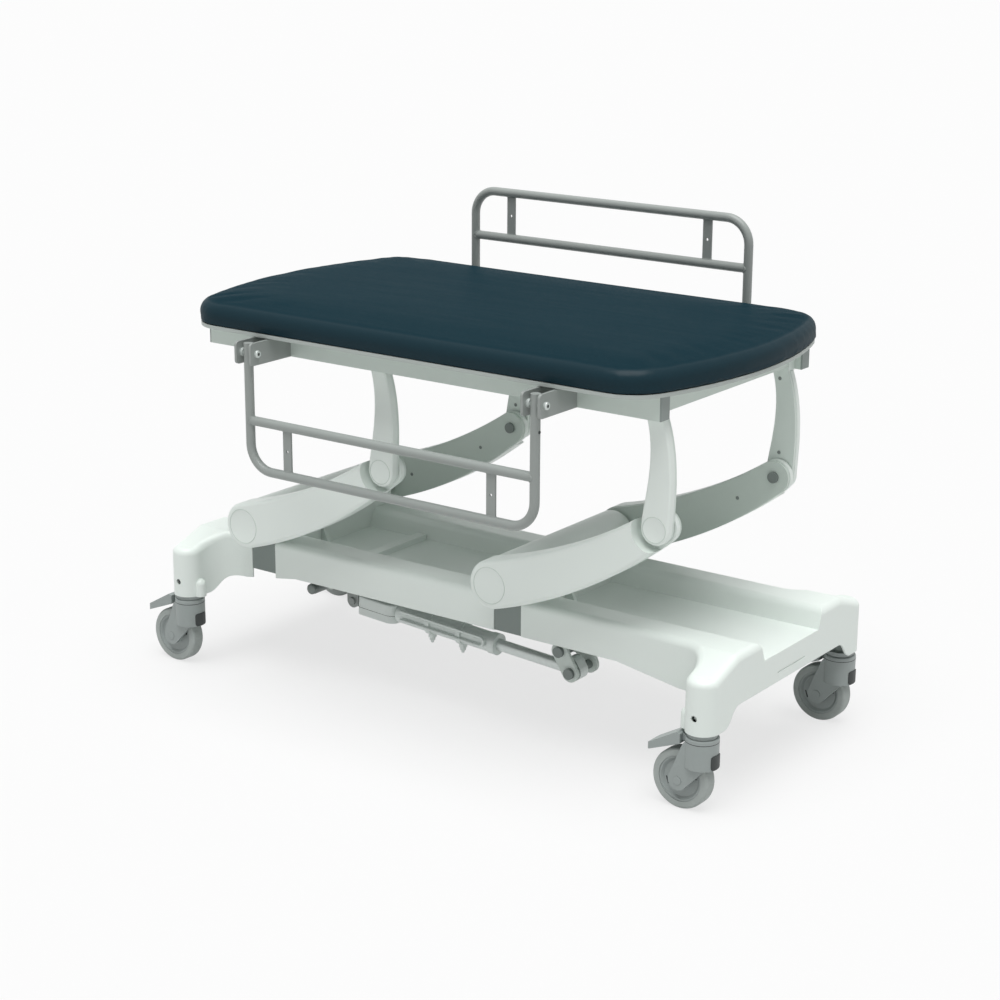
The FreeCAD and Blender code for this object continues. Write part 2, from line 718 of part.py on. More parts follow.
def blend_arc(x, z, side, base, knee, height):
    """Three points of the arc that touches both end circles of an arm and runs at one
    height from the centre line between them. The side is 1 for the top, -1 for below."""
    p, q, span = base - height, knee - height, ARM_LENGTH
    a = 1 / p - 1 / q
    b = 2 * span / q
    c = -span ** 2 / q - (base - knee)
    run = (-b + math.sqrt(b * b - 4 * a * c)) / (2 * a)
    if not 0 < run < span:
        run = (-b - math.sqrt(b * b - 4 * a * c)) / (2 * a)
    radius = (run ** 2 / p - base - height) / 2
    rise = radius + height
    start = Vector(x + base * run / (radius + base), 0, z + side * base * rise / (radius + base))
    back = knee / (radius + knee)
    end = Vector(x + span - back * (span - run), 0, z + side * back * rise)
    return start, Vector(x + run, 0, z + side * height), end


def arm_outline(end, inset):
    """An arm seen from the side, level: round ends, a dipped top and a bellied underside."""
    x, z = PIVOT_X[end], PIVOT_Z
    base, knee = ARM_BASE_RADIUS - inset, ARM_KNEE_RADIUS - inset
    top = blend_arc(x, z, 1, base, knee, ARM_DIP - inset)
    low = blend_arc(x, z, -1, base, knee, ARM_BELLY - inset)
    return loop([arc(*top), arc(*low), arc(low[0], Vector(x - base, 0, z), top[0]),
                 arc(top[2], Vector(x + ARM_LENGTH + knee, 0, z), low[2])])


def arm_plate(end, side):
    """The flat steel plate on the inner face of an arm."""
    inner, outer = ARM_INNER_Y, ARM_INNER_Y + ARM_PLATE
    plate = slab_y(arm_outline(end, ARM_PLATE_INSET), inner, outer)
    x, tip = PIVOT_X[end], PIVOT_X[end] + ARM_LENGTH
    holes = [bar_y(x, PIVOT_Z, TUBE_RADIUS, inner - 1, outer + 1),
             bar_y(tip, PIVOT_Z, KNEE_BOLT_RADIUS + BOLT_RUNNING_GAP, inner - 1, outer + 1)]
    for reach in PLATE_SCREW_AT:
        holes.append(bar_y(x + reach, PIVOT_Z - PLATE_SCREW_DROP, PLATE_SCREW_RADIUS, inner - 1, outer + 1))
    return mirror_y(lifted(plate.cut(holes), end), side)


def dish_cut(x, z, face, radius, depth):
    """A shallow round dish in a face that looks along +Y."""
    ball = (radius ** 2 + depth ** 2) / (2 * depth)
    return Part.makeSphere(ball, Vector(x, face + ball - depth, z))


def arm_cover(end, side):
    """The white moulded shell over the outer face of an arm, stepped back at the knee."""
    inner = ARM_INNER_Y + ARM_PLATE
    x, tip = PIVOT_X[end], PIVOT_X[end] + ARM_LENGTH
    shell = slab_y(arm_outline(end, 0), inner, ARM_COVER_OUTER)
    rim = [e for e in shell.Edges if e.BoundBox.YMin > ARM_COVER_OUTER - 1]
    shell = shell.makeFillet(ARM_COVER_EDGE, rim)
    shell = shell.cut(bar_y(tip, PIVOT_Z, KNEE_RECESS_RADIUS, KNEE_RECESS_FACE, ARM_COVER_OUTER + 1))
    pocket = slab_y(arm_outline(end, ARM_COVER_WALL), inner - 1, ARM_COVER_OUTER - ARM_COVER_WALL)
    keep = bar_y(tip, PIVOT_Z, KNEE_RECESS_RADIUS + ARM_COVER_WALL, inner - 2, ARM_COVER_OUTER)
    dish = dish_cut(x, PIVOT_Z, ARM_COVER_OUTER, BOSS_DISH_RADIUS, BOSS_DISH_DEPTH)
    behind = bar_y(x, PIVOT_Z, BOSS_DISH_RADIUS + ARM_COVER_WALL,
                   ARM_COVER_OUTER - BOSS_DISH_DEPTH - ARM_COVER_WALL, ARM_COVER_OUTER)
    bore = bar_y(tip, PIVOT_Z, KNEE_BOLT_RADIUS + BOLT_RUNNING_GAP, inner - 1, ARM_COVER_OUTER)
    return mirror_y(lifted(shell.cut([pocket.cut([keep, behind]), dish, bore]), end), side)


def pin_places(end):
    """Where a lever carries its pins, as (x, z). The right lever has the actuator's too."""
    places = [(PIVOT_X[end] + LEVER_PIN_X, PIVOT_Z - LEVER_PIN_DROP)]
    if end == RIGHT:
        places.append((PIVOT_X[end] + DRIVE_PIN_X, PIVOT_Z - DRIVE_PIN_DROP))
    return places


def torsion_tube(end):
    """The tube that joins the two arms of a pair, with its lever welded on."""
    x, z = PIVOT_X[end], PIVOT_Z
    reach = ARM_INNER_Y + ARM_PLATE
    inner, outer = -LEVER_INNER_Y, -LEVER_INNER_Y - LEVER_PLATE
    parts = [bar_y(x, z, TUBE_RADIUS, -reach, reach)]
    parts.append(bar_y(x, z, LEVER_ROOT_RADIUS, inner + LEVER_WELD, outer - LEVER_WELD))
    root = (x, z, LEVER_ROOT_RADIUS)
    for px, pz in pin_places(end):
        parts.append(link(root, (px, pz, LEVER_EYE_RADIUS), inner, outer))
    bores = [bar_y(x, z, TUBE_RADIUS - TUBE_WALL, -reach - 1, reach + 1)]
    for px, pz in pin_places(end):
        bores.append(bar_y(px, pz, LEVER_PIN_RADIUS, inner + 1, outer - 1))
    return fuse(parts).cut(bores)


def lever_pins(end):
    """Headed pins. The tie rod's pin has a sleeve too."""
    inner, face = -LEVER_INNER_Y, -SIDE_PLATE_OUTER
    sleeve_in = -TIE_ROD_Y - TIE_EYE_WIDTH / 2 - TIE_SIDE_GAP
    sleeve_out = face + SIDE_PLATE if end == RIGHT else face
    pins = []
    for x, z in pin_places(end):
        pins.append([bar_y(x, z, LEVER_PIN_RADIUS, inner, face),
                     bar_y(x, z, LEVER_PIN_RADIUS + LEVER_PIN_LIP, face - LEVER_PIN_HEAD, face)])
    x, z = pin_places(end)[0]
    pins[0].append(bar_y(x, z, LEVER_SLEEVE_RADIUS, sleeve_in, sleeve_out))
    return [fuse(pin) for pin in pins]


def lever_plate():
    """The plate that joins the two pins of the right lever at their outer ends."""
    outer, inner = -SIDE_PLATE_OUTER, -SIDE_PLATE_OUTER + SIDE_PLATE
    places = pin_places(RIGHT)
    first, second = [(x, z, LEVER_EYE_RADIUS) for x, z in places]
    bores = [bar_y(x, z, LEVER_PIN_RADIUS, outer - 1, inner + 1) for x, z in places]
    return link(first, second, outer, inner).cut(bores)


def tie_rod():
    """The rod that joins the two levers, with an eye at each end and a sleeve."""
    (x0, z), (x1, _) = pin_places(LEFT)[0], pin_places(RIGHT)[0]
    half = TIE_EYE_WIDTH / 2
    start = x0 + LEVER_EYE_RADIUS + TIE_SLEEVE_GAP
    parts = [bar_x(-TIE_ROD_Y, z, TIE_ROD_RADIUS, x0, x1),
             bar_x(-TIE_ROD_Y, z, TIE_SLEEVE_RADIUS, start, start + TIE_SLEEVE_LENGTH)]
    parts += [bar_y(x, z, TIE_EYE_RADIUS, -TIE_ROD_Y - half, -TIE_ROD_Y + half) for x in (x0, x1)]
    bore, reach = LEVER_PIN_RADIUS + BOLT_RUNNING_GAP, half + 1
    return fuse(parts).cut([bar_y(x, z, bore, -TIE_ROD_Y - reach, -TIE_ROD_Y + reach) for x in (x0, x1)])


def aimed(shape):
    """Turns a piece drawn level along X about the rear pivot, to point at the drive pin."""
    x, z = BASE_X + REAR_PIVOT_X, REAR_PIVOT_Z
    drive_x, drive_z = pin_places(RIGHT)[1]
    angle = math.degrees(math.atan2(drive_z - z, drive_x - x))
    shape.rotate(Vector(x, 0, z), Vector(0, 1, 0), -angle)
    return shape


def drive_reach():
    """The distance from the rear pivot to the drive pin at rest."""
    drive_x, drive_z = pin_places(RIGHT)[1]
    return math.hypot(drive_x - BASE_X - REAR_PIVOT_X, drive_z - REAR_PIVOT_Z)


def actuator_motor():
    """The motor's rounded housing, with the rear eye."""
    x, z, y = BASE_X + REAR_PIVOT_X, REAR_PIVOT_Z, -ACTUATOR_Y
    start, half = x + MOTOR_START, MOTOR_WIDTH / 2
    block = box(start, start + MOTOR_LENGTH, y - half, y + half, z - MOTOR_DROP, z + MOTOR_RISE)
    upright = [e for e in block.Edges if e.BoundBox.ZLength > 1]
    block = block.makeFillet(MOTOR_NOSE, [e for e in upright if e.BoundBox.XMin > start + 1])
    heel = [e for e in block.Edges if e.BoundBox.ZLength > 1 and e.BoundBox.XMax < start + 1]
    block = block.makeFillet(MOTOR_HEEL, heel)
    block = block.makeFillet(MOTOR_EDGE, [e for e in block.Edges if e.BoundBox.ZLength < 1])
    eye = REAR_EYE_WIDTH / 2
    neck = box(x, start + MOTOR_HEEL, y - eye, y + eye, z - REAR_EYE_RADIUS, z + REAR_EYE_RADIUS)
    body = fuse([block, neck, bar_y(x, z, REAR_EYE_RADIUS, y - eye, y + eye)])
    return aimed(body.cut(bar_y(x, z, REAR_PIN_RADIUS + BOLT_RUNNING_GAP, y - eye - 1, y + eye + 1)))


def actuator_tube():
    """The actuator's outer tube, with a thicker guide ring at its mouth."""
    x, z, y = BASE_X + REAR_PIVOT_X, REAR_PIVOT_Z, -ACTUATOR_Y
    start, mouth = x + MOTOR_START + MOTOR_LENGTH, x + ACTUATOR_TUBE_LENGTH
    tube = bar_x(y, z, ACTUATOR_TUBE_RADIUS, start, mouth)
    ring = bar_x(y, z, ACTUATOR_TUBE_RADIUS + MOUTH_RING, mouth - MOUTH_LENGTH, mouth)
    tube = fuse([tube, ring])
    hollow = ACTUATOR_TUBE_RADIUS - ACTUATOR_TUBE_WALL
    bore = bar_x(y, z, hollow, start + ACTUATOR_TUBE_WALL, mouth - MOUTH_LENGTH)
    guide = bar_x(y, z, ROD_RADIUS + ROD_GAP, mouth - MOUTH_LENGTH - 1, mouth + 1)
    return aimed(tube.cut([bore, guide]))


def actuator_clamps():
    """Two clamps round the tube, each with a bolt below."""
    x, z, y = BASE_X + REAR_PIVOT_X, REAR_PIVOT_Z, -ACTUATOR_Y
    outer = ACTUATOR_TUBE_RADIUS + CLAMP_WALL
    half = CLAMP_WIDTH / 2
    pieces = []
    for reach in CLAMP_AT:
        centre = x + reach
        ring = bar_x(y, z, outer, centre - half, centre + half)
        low = z - outer - CLAMP_LUG / 2
        lug = box(centre - half, centre + half, y - CLAMP_LUG / 2, y + CLAMP_LUG / 2, low, z)
        ring = fuse([ring, lug]).cut(bar_x(y, z, ACTUATOR_TUBE_RADIUS, centre - half - 1, centre + half + 1))
        bolt = bar_z(centre, y, CLAMP_BOLT, low - CLAMP_BOLT_DROP, low)
        nut = bar_z(centre, y, CLAMP_BOLT + CLAMP_NUT_LIP, low - CLAMP_NUT, low)
        pieces += [aimed(ring), aimed(fuse([bolt, nut]))]
    return pieces


def actuator_rod():
    """The sliding rod. Its eye has a long hole, which takes up the drive pin's play."""
    x, z, y = BASE_X + REAR_PIVOT_X, REAR_PIVOT_Z, -ACTUATOR_Y
    pin = x + drive_reach()
    rod = bar_x(y, z, ROD_RADIUS, pin - ROD_LENGTH, pin - LEVER_EYE_RADIUS / 2)
    half = ROD_EYE_WIDTH / 2
    back, up = pin - PLAY_BACK, z + PLAY_UP
    eye = link((pin, z, ROD_EYE_RADIUS), (back, up, ROD_EYE_RADIUS), y - half, y + half)
    bore = LEVER_PIN_RADIUS + PLAY_GAP
    hole = link((pin, z, bore), (back, up, bore), y - half - 1, y + half + 1)
    return aimed(fuse([rod, eye]).cut(hole))


def leg_outline(end, inset):
    """A leg seen from the side: a round foot at the knee and a swept, narrower neck."""
    x, z = KNEE_X[end], KNEE_Z
    foot = LEG_FOOT_RADIUS - inset
    sides = []
    for way, pull, top in ((-1, -LEG_BACK_PULL, LEG_TOP_BACK), (1, LEG_FRONT_PULL, LEG_TOP_FRONT)):
        poles = [(foot, 0), (foot, LEG_CURVE_LOW), (pull - inset, LEG_CURVE_HIGH), (top - inset, LEG_HEIGHT)]
        curve = Part.BezierCurve()
        curve.setPoles([Vector(x + way * px, 0, z + pz) for px, pz in poles])
        sides.append(curve.toShape())
    back = Vector(x - LEG_TOP_BACK + inset, 0, z + LEG_HEIGHT)
    front = Vector(x + LEG_TOP_FRONT - inset, 0, z + LEG_HEIGHT)
    bottom = arc(Vector(x - foot, 0, z), Vector(x, 0, z - foot), Vector(x + foot, 0, z))
    return loop(sides + [line(back, front), bottom])


def leg_plate(end, side):
    """An upright steel plate, with a thick neck that is welded to the side member."""
    inner, outer = LEG_INNER_Y, LEG_INNER_Y + LEG_PLATE
    plate = slab_y(leg_outline(end, LEG_PLATE_INSET), inner, outer)
    x = KNEE_X[end]
    neck = box(x - LEG_TOP_BACK + LEG_PLATE_INSET, x + LEG_TOP_FRONT - LEG_PLATE_INSET, inner,
               MEMBER_INNER_Y, KNEE_Z + LEG_HEIGHT - 1, FRAME_TOP - NECK_DROP)
    shape = fuse([plate, neck.cut(box(x - LEG_FOOT_RADIUS, x + LEG_FOOT_RADIUS, outer, MEMBER_INNER_Y + 1,
                                      KNEE_Z, KNEE_Z + LEG_HEIGHT))])
    return mirror_y(shape.cut(bar_y(x, KNEE_Z, KNEE_BOLT_RADIUS, inner - 1, outer + 1)), side)


def leg_cover(end, side):
    """The white moulding on the outer face of a leg, with a dished boss at the knee."""
    inner = LEG_INNER_Y + LEG_PLATE
    shape = slab_y(leg_outline(end, 0), inner, LEG_COVER_OUTER)
    rim = [e for e in shape.Edges if e.BoundBox.YMin > LEG_COVER_OUTER - 1]
    shape = shape.makeFillet(LEG_COVER_EDGE, rim)
    x = KNEE_X[end]
    dish = dish_cut(x, KNEE_Z, LEG_COVER_OUTER, LEG_DISH_RADIUS, LEG_DISH_DEPTH)
    bore = bar_y(x, KNEE_Z, KNEE_BOLT_RADIUS, inner - 1, inner + KNEE_BOLT_DEPTH)
    return mirror_y(shape.cut([dish, bore]), side)


def knee_bolts():
    """Bolts from inside each arm into its leg, on which the knee turns."""
    bolts = []
    for end, side in corners():
        face = ARM_INNER_Y - KNEE_HEAD_GAP
        tip = LEG_INNER_Y + LEG_PLATE + KNEE_BOLT_DEPTH
        shank = bar_y(KNEE_X[end], KNEE_Z, KNEE_BOLT_RADIUS, face, tip)
        head = bar_y(KNEE_X[end], KNEE_Z, KNEE_HEAD_RADIUS, face - KNEE_HEAD_HEIGHT, face)
        bolts.append(mirror_y(fuse([shank, head]), side))
    return bolts


def side_member(side):
    y0, y1 = side * MEMBER_INNER_Y, side * (MEMBER_INNER_Y + SIDE_MEMBER_WIDTH)
    return tube_x(TOP_X - FRAME_HALF_LENGTH, TOP_X + FRAME_HALF_LENGTH, y0, y1,
                  SIDE_MEMBER_BOTTOM, FRAME_TOP, SIDE_MEMBER_WALL)


def end_caps():
    """Moulded plugs that close the side members, each with a flange."""
    caps = []
    inset = SIDE_MEMBER_WALL + END_CAP_GAP
    for end, side in corners():
        face = TOP_X + end * FRAME_HALF_LENGTH
        y0, y1 = sorted((side * MEMBER_INNER_Y, side * (MEMBER_INNER_Y + SIDE_MEMBER_WIDTH)))
        flange = box(face, face + end * END_CAP_THICKNESS, y0, y1, SIDE_MEMBER_BOTTOM, FRAME_TOP)
        rim = [e for e in flange.Edges if end * e.CenterOfMass.x > end * face + END_CAP_THICKNESS - 0.1]
        flange = flange.makeFillet(END_CAP_EDGE, rim)
        plug = box(face - end * END_CAP_PLUG, face, y0 + inset, y1 - inset,
                   SIDE_MEMBER_BOTTOM + inset, FRAME_TOP - inset)
        caps.append(fuse([flange, plug]))
    return caps


def cross_members():
    """Tubes between the legs of each pair, and one between the side members at the left."""
    top = FRAME_TOP - NECK_DROP
    bottom = top - CROSS_HEIGHT
    half = CROSS_WIDTH / 2
    tubes = []
    for end in (LEFT, RIGHT):
        x = KNEE_X[end] + (LEG_TOP_FRONT - LEG_TOP_BACK) / 2
        tubes.append(tube_y(x - half, x + half, -LEG_INNER_Y, LEG_INNER_Y, bottom, top, CROSS_WALL))
    x = TOP_X - FRAME_HALF_LENGTH + CROSS_END
    tubes.append(tube_y(x - half, x + half, -MEMBER_INNER_Y, MEMBER_INNER_Y, bottom, top, CROSS_WALL))
    return tubes


def pad_outline(inset):
    """The plan of the padded top: straight sides, bowed ends and round corners."""
    length, width = PAD_HALF_LENGTH - inset, PAD_HALF_WIDTH - inset
    bow = (PAD_HALF_WIDTH ** 2 + PAD_END_BOW ** 2) / (2 * PAD_END_BOW) - inset
    corner = PAD_CORNER - inset
    centre_y = width - corner
    bow_centre = length - bow
    reach = math.sqrt((bow - corner) ** 2 - centre_y ** 2)
    centre_x = bow_centre + reach
    meet = bow / (bow - corner)
    edges = []
    for end in (LEFT, RIGHT):
        touch = Vector(TOP_X + end * (bow_centre + reach * meet), centre_y * meet, 0)
        low = Vector(touch.x, -touch.y, 0)
        edges.append(arc(touch, Vector(TOP_X + end * length, 0, 0), low))
        for side in (NEAR, FAR):
            start = Vector(TOP_X + end * centre_x, side * width, 0)
            centre = Vector(TOP_X + end * centre_x, side * centre_y, 0)
            tip = touch if side == FAR else low
            ray = (start - centre) + (tip - centre)
            mid = centre + ray.normalize() * corner
            edges.append(arc(start, mid, tip))
    for side in (NEAR, FAR):
        y = side * width
        edges.append(line(Vector(TOP_X - centre_x, y, 0), Vector(TOP_X + centre_x, y, 0)))
    return loop(edges)


def top_board():
    return slab_z(pad_outline(BOARD_INSET), FRAME_TOP, BOARD_TOP)


def mattress():
    """The padded top as a plain solid, with a large upper edge and a small lower one."""
    pad = slab_z(pad_outline(0), BOARD_TOP, PAD_TOP)
    pad = pad.makeFillet(PAD_UPPER_EDGE, [e for e in pad.Edges if e.BoundBox.ZMin > PAD_TOP - 1])
    return pad.makeFillet(PAD_LOWER_EDGE, [e for e in pad.Edges if e.BoundBox.ZMax < BOARD_TOP + 1])


def rail_places():
    """The X of a side rail's two legs."""
    return RAIL_X - RAIL_HALF_LENGTH, RAIL_X + RAIL_HALF_LENGTH


def rail_path(side, shorten):
    """The centre line of a bent rail, from one tail to the other."""
    way = side
    x0, x1 = rail_places()
    y, z = side * RAIL_Y, RAIL_PIVOT_Z
    tail, far = z - way * (RAIL_TAIL - shorten), z + way * RAIL_HEIGHT
    bend = RAIL_BEND
    skew = bend * (1 - math.sqrt(0.5))
    return Part.Wire([line(Vector(x0, y, tail), Vector(x0, y, far - way * bend)),
                      arc(Vector(x0, y, far - way * bend), Vector(x0 + skew, y, far - way * skew),
                          Vector(x0 + bend, y, far)),
                      line(Vector(x0 + bend, y, far), Vector(x1 - bend, y, far)),
                      arc(Vector(x1 - bend, y, far), Vector(x1 - skew, y, far - way * skew),
                          Vector(x1, y, far - way * bend)),
                      line(Vector(x1, y, far - way * bend), Vector(x1, y, tail))])


def along(path, radius):
    """A round section of one radius, swept along a path that starts upright."""
    start = path.OrderedVertexes[0].Point
    ring = Part.Wire(Part.makeCircle(radius, start, Vector(0, 0, 1)))
    return path.makePipeShell([ring], True, True)


def side_rail(side):
    """A folding rail: a bent tube, a bar between its legs and two flat straps. The near
    one hangs down and the far one stands up."""
    x0, x1 = rail_places()
    y = side * RAIL_Y
    mid, outer = RAIL_PIVOT_Z + side * RAIL_MID_HEIGHT, RAIL_PIVOT_Z + side * RAIL_HEIGHT
    hollow = RAIL_TUBE_RADIUS - RAIL_TUBE_WALL
    parts = [along(rail_path(side, 0), RAIL_TUBE_RADIUS), bar_x(y, mid, RAIL_TUBE_RADIUS, x0, x1)]
    bite = RAIL_TUBE_RADIUS - RAIL_TUBE_WALL / 2
    for end in (LEFT, RIGHT):
        x = RAIL_X + end * STRAP_OFFSET
        parts.append(box(x - STRAP_WIDTH / 2, x + STRAP_WIDTH / 2, y - STRAP_THICKNESS / 2,
                         y + STRAP_THICKNESS / 2, mid + side * bite, outer - side * bite))
    cuts = [along(rail_path(side, RAIL_TUBE_WALL), hollow), bar_x(y, mid, hollow, x0, x1)]
    for end in (LEFT, RIGHT):
        cuts.append(bar_y(RAIL_X + end * STRAP_OFFSET, (mid + outer) / 2, STRAP_HOLE_RADIUS,
                          y - STRAP_THICKNESS, y + STRAP_THICKNESS))
    bore = RAIL_BOLT_RADIUS + RAIL_BOLT_GAP
    for x in (x0, x1):
        cuts.append(bar_x(y, RAIL_PIVOT_Z, bore, x - CHEEK_INNER, x + CHEEK_INNER))
    return fuse(parts).cut(cuts)


def brackets(side):
    """Two hinge brackets: a back plate on the side member and two cheeks."""
    face = MEMBER_INNER_Y + SIDE_MEMBER_WIDTH
    low, high = RAIL_PIVOT_Z - CHEEK_HALF_HEIGHT, RAIL_PIVOT_Z + CHEEK_HALF_HEIGHT
    nose = RAIL_Y + CHEEK_REACH
    outer = CHEEK_INNER + CHEEK_THICKNESS
    shapes = []
    for x in rail_places():
        parts = [box(x - outer, x + outer, face, face + BRACKET_BACK, low, high)]
        for way in (-1, 1):
            x_in, x_out = x + way * CHEEK_INNER, x + way * outer
            cheek = box(x_in, x_out, face, nose, low, high)
            rim = [e for e in cheek.Edges if e.BoundBox.YMin > nose - 1 and e.BoundBox.XLength > 1]
            parts.append(cheek.makeFillet(CHEEK_CORNER, rim))
        bore = bar_x(RAIL_Y, RAIL_PIVOT_Z, RAIL_BOLT_RADIUS, x - outer - 1, x + outer + 1)
        shapes.append(mirror_y(fuse(parts).cut(bore), side))
    return shapes


def bracket_bolts():
    """The rails' hinge bolts, with a head, an end nut and two spacers beside the tube."""
    outer = CHEEK_INNER + CHEEK_THICKNESS
    bolts = []
    for side in (NEAR, FAR):
        y, z = side * RAIL_Y, RAIL_PIVOT_Z
        for x in rail_places():
            bolt = [bar_x(y, z, RAIL_BOLT_RADIUS, x - outer - RAIL_NUT, x + outer)]
            head = bar_x(y, z, RAIL_BOLT_HEAD, x + outer, x + outer + RAIL_BOLT_HEAD_HEIGHT)
            rim = [e for e in head.Edges if e.BoundBox.XMin > x + outer + 1]
            bolt.append(head.makeFillet(RAIL_HEAD_EDGE, rim))
            bolt.append(bar_x(y, z, RAIL_NUT_RADIUS, x - outer - RAIL_NUT, x - outer))
            for way in (-1, 1):
                bolt.append(bar_x(y, z, RAIL_SPACER_RADIUS, x + way * (RAIL_TUBE_RADIUS + RAIL_SPACER_GAP),
                                  x + way * CHEEK_INNER))
            bolts.append(fuse(bolt))
    return bolts


def lock_plungers():
    """A small button on each bracket, below its bolt."""
    start = CHEEK_INNER + CHEEK_THICKNESS
    buttons = []
    for side in (NEAR, FAR):
        for x in rail_places():
            buttons.append(bar_x(side * RAIL_Y, RAIL_PIVOT_Z - PLUNGER_DROP, PLUNGER_RADIUS,
                                 x - start - PLUNGER_LENGTH, x - start))
    return buttons


def castor_housing():
    """The swivelling hood and fork, drawn about its own stem."""
    hub = (-CASTOR_TRAIL, WHEEL_RADIUS, FORK_HUB_RADIUS)
    inner = WHEEL_WIDTH / 2 + FORK_GAP
    outer = inner + FORK_WALL
    hood = bar_z(0, 0, HOUSING_RADIUS, HOOD_BOTTOM, HOUSING_TOP)
    crown = [e for e in hood.Edges if e.BoundBox.ZMin > HOUSING_TOP - 1]
    hood = hood.makeFillet(HOUSING_EDGE, crown)
    fork = link((0, FORK_ROOT_Z, HOUSING_RADIUS), hub, -outer, outer)
    front = box(0, HOUSING_RADIUS + 1, -outer, outer, 0, HOUSING_TOP)
    fork = fork.cut(front.cut(bar_z(0, 0, HOUSING_RADIUS, 0, HOUSING_TOP)))
    pocket = PEDAL_HUB_RADIUS + PEDAL_CLEARANCE
    pivot_z = HOUSING_TOP - PEDAL_PIVOT_DROP
    half = PEDAL_NECK / 2 + PEDAL_CLEARANCE
    cuts = [bar_y(-CASTOR_TRAIL, WHEEL_RADIUS, WHEEL_RADIUS + WHEEL_CLEARANCE, -inner, inner),
            bar_z(0, 0, STEM_RADIUS + STEM_RUNNING_GAP, HOUSING_TOP - HOUSING_ROOF, HOUSING_TOP + 1),
            bar_y(-CASTOR_TRAIL, WHEEL_RADIUS, AXLE_RADIUS, -outer - 1, outer + 1),
            box(-HOUSING_RADIUS - 1, -PEDAL_PIVOT_X + pocket, -half, half, pivot_z - pocket, HOUSING_TOP + 1),
            bar_y(-PEDAL_PIVOT_X, pivot_z, PEDAL_PIN_RADIUS + BOLT_RUNNING_GAP, -half - PEDAL_PIN_END,
                  half + PEDAL_PIN_END)]
    return fuse([hood, fork]).cut(cuts)


def castor_pedal():
    """The brake pedal: a broad paddle, a neck and a hub with a stub pin on each side."""
    x, z = -PEDAL_PIVOT_X, HOUSING_TOP - PEDAL_PIVOT_DROP
    neck = PEDAL_NECK / 2
    crest_x, crest_z = -HOUSING_RADIUS - PEDAL_CREST_REACH, HOUSING_TOP + PEDAL_CREST
    tip_z = HOUSING_TOP - PEDAL_TIP_DROP
    edge_x = -HOUSING_RADIUS - PEDAL_CREST_GAP
    root_z = crest_z - PEDAL_CREST_GAP
    outline = [Vector(edge_x, 0, root_z), Vector(crest_x, 0, crest_z),
               Vector(-PEDAL_REACH, 0, tip_z), Vector(-PEDAL_REACH, 0, tip_z - PEDAL_TIP),
               Vector(edge_x, 0, root_z - PEDAL_ROOT)]
    paddle = slab_y(polygon(outline), -PEDAL_WIDTH / 2, PEDAL_WIDTH / 2)
    tips = [e for e in paddle.Edges if e.BoundBox.XMax < 1 - PEDAL_REACH and e.BoundBox.ZLength > 1]
    paddle = paddle.makeFillet(PEDAL_CORNER, tips)
    arm = polygon([Vector(x, 0, z + PEDAL_HUB_RADIUS), Vector(crest_x, 0, crest_z - 1),
                   Vector(crest_x, 0, crest_z - PEDAL_TIP), Vector(x, 0, z - PEDAL_HUB_RADIUS)])
    pin = neck + PEDAL_CLEARANCE + PEDAL_PIN_END - 1
    return fuse([paddle, slab_y(arm, -neck, neck), bar_y(x, z, PEDAL_HUB_RADIUS, -neck, neck),
                 bar_y(x, z, PEDAL_PIN_RADIUS, -pin, pin)])


def castor_axle():
    """The wheel's axle, with a low round head on each side of the fork."""
    outer = WHEEL_WIDTH / 2 + FORK_GAP + FORK_WALL
    parts = [bar_y(-CASTOR_TRAIL, WHEEL_RADIUS, AXLE_RADIUS, -outer, outer)]
    for side in (NEAR, FAR):
        parts.append(bar_y(-CASTOR_TRAIL, WHEEL_RADIUS, AXLE_RADIUS + AXLE_LIP, side * outer,
                           side * (outer + AXLE_HEAD)))
    return fuse(parts)


def castor_wheel():
    """The wheel's core: a hub, a dished web and a rim, turned from one profile."""
    rim = WHEEL_RADIUS - TYRE_DEPTH
    half = WHEEL_WIDTH / 2 - CORE_INSET
    hub_half = WHEEL_WIDTH / 2 + FORK_GAP - HUB_SIDE_GAP
    bore = AXLE_RADIUS + BOLT_RUNNING_GAP
    web = half - CORE_DISH
    profile = [(bore, -hub_half), (bore, hub_half), (HUB_RADIUS, hub_half), (HUB_RADIUS + CORE_DISH, web),
               (rim - CORE_DISH - RIM_WALL, web), (rim - RIM_WALL, half), (rim, half), (rim, -half),
               (rim - RIM_WALL, -half), (rim - CORE_DISH - RIM_WALL, -web), (HUB_RADIUS + CORE_DISH, -web),
               (HUB_RADIUS, -hub_half)]
    return turned(profile)


def castor_tyre():
    """The tyre, with a rounded tread."""
    rim, half = WHEEL_RADIUS - TYRE_DEPTH, WHEEL_WIDTH / 2
    tyre = turned([(rim, -half), (rim, half), (WHEEL_RADIUS, half), (WHEEL_RADIUS, -half)])
    edges = [e for e in tyre.Edges if e.BoundBox.ZLength > 2 * WHEEL_RADIUS - 1]
    return tyre.makeFillet(TYRE_EDGE, edges)


def turned(profile):
    """Turns a profile of (radius, y) points about the wheel's axle."""
    x, z = -CASTOR_TRAIL, WHEEL_RADIUS
    face = Part.Face(polygon([Vector(x + r, y, z) for r, y in profile]))
    return face.revolve(Vector(x, 0, z), Vector(0, 1, 0), 360)


def placed(shape, end, side):
    """Moves a castor's piece from its own stem to one corner of the base."""
    x, y = castor_place(end, side)
    moved = shape.copy()
    moved.translate(Vector(x, y, 0))
    return moved


def build_base():
    save("base_cover", base_cover())
    save("chassis_frame", chassis_frame())
    save("pivot_bushes", pivot_bushes())
    save("actuator_bracket", actuator_bracket())
    save("foot_screws", foot_screws())
    save("castor_stems", castor_stems())


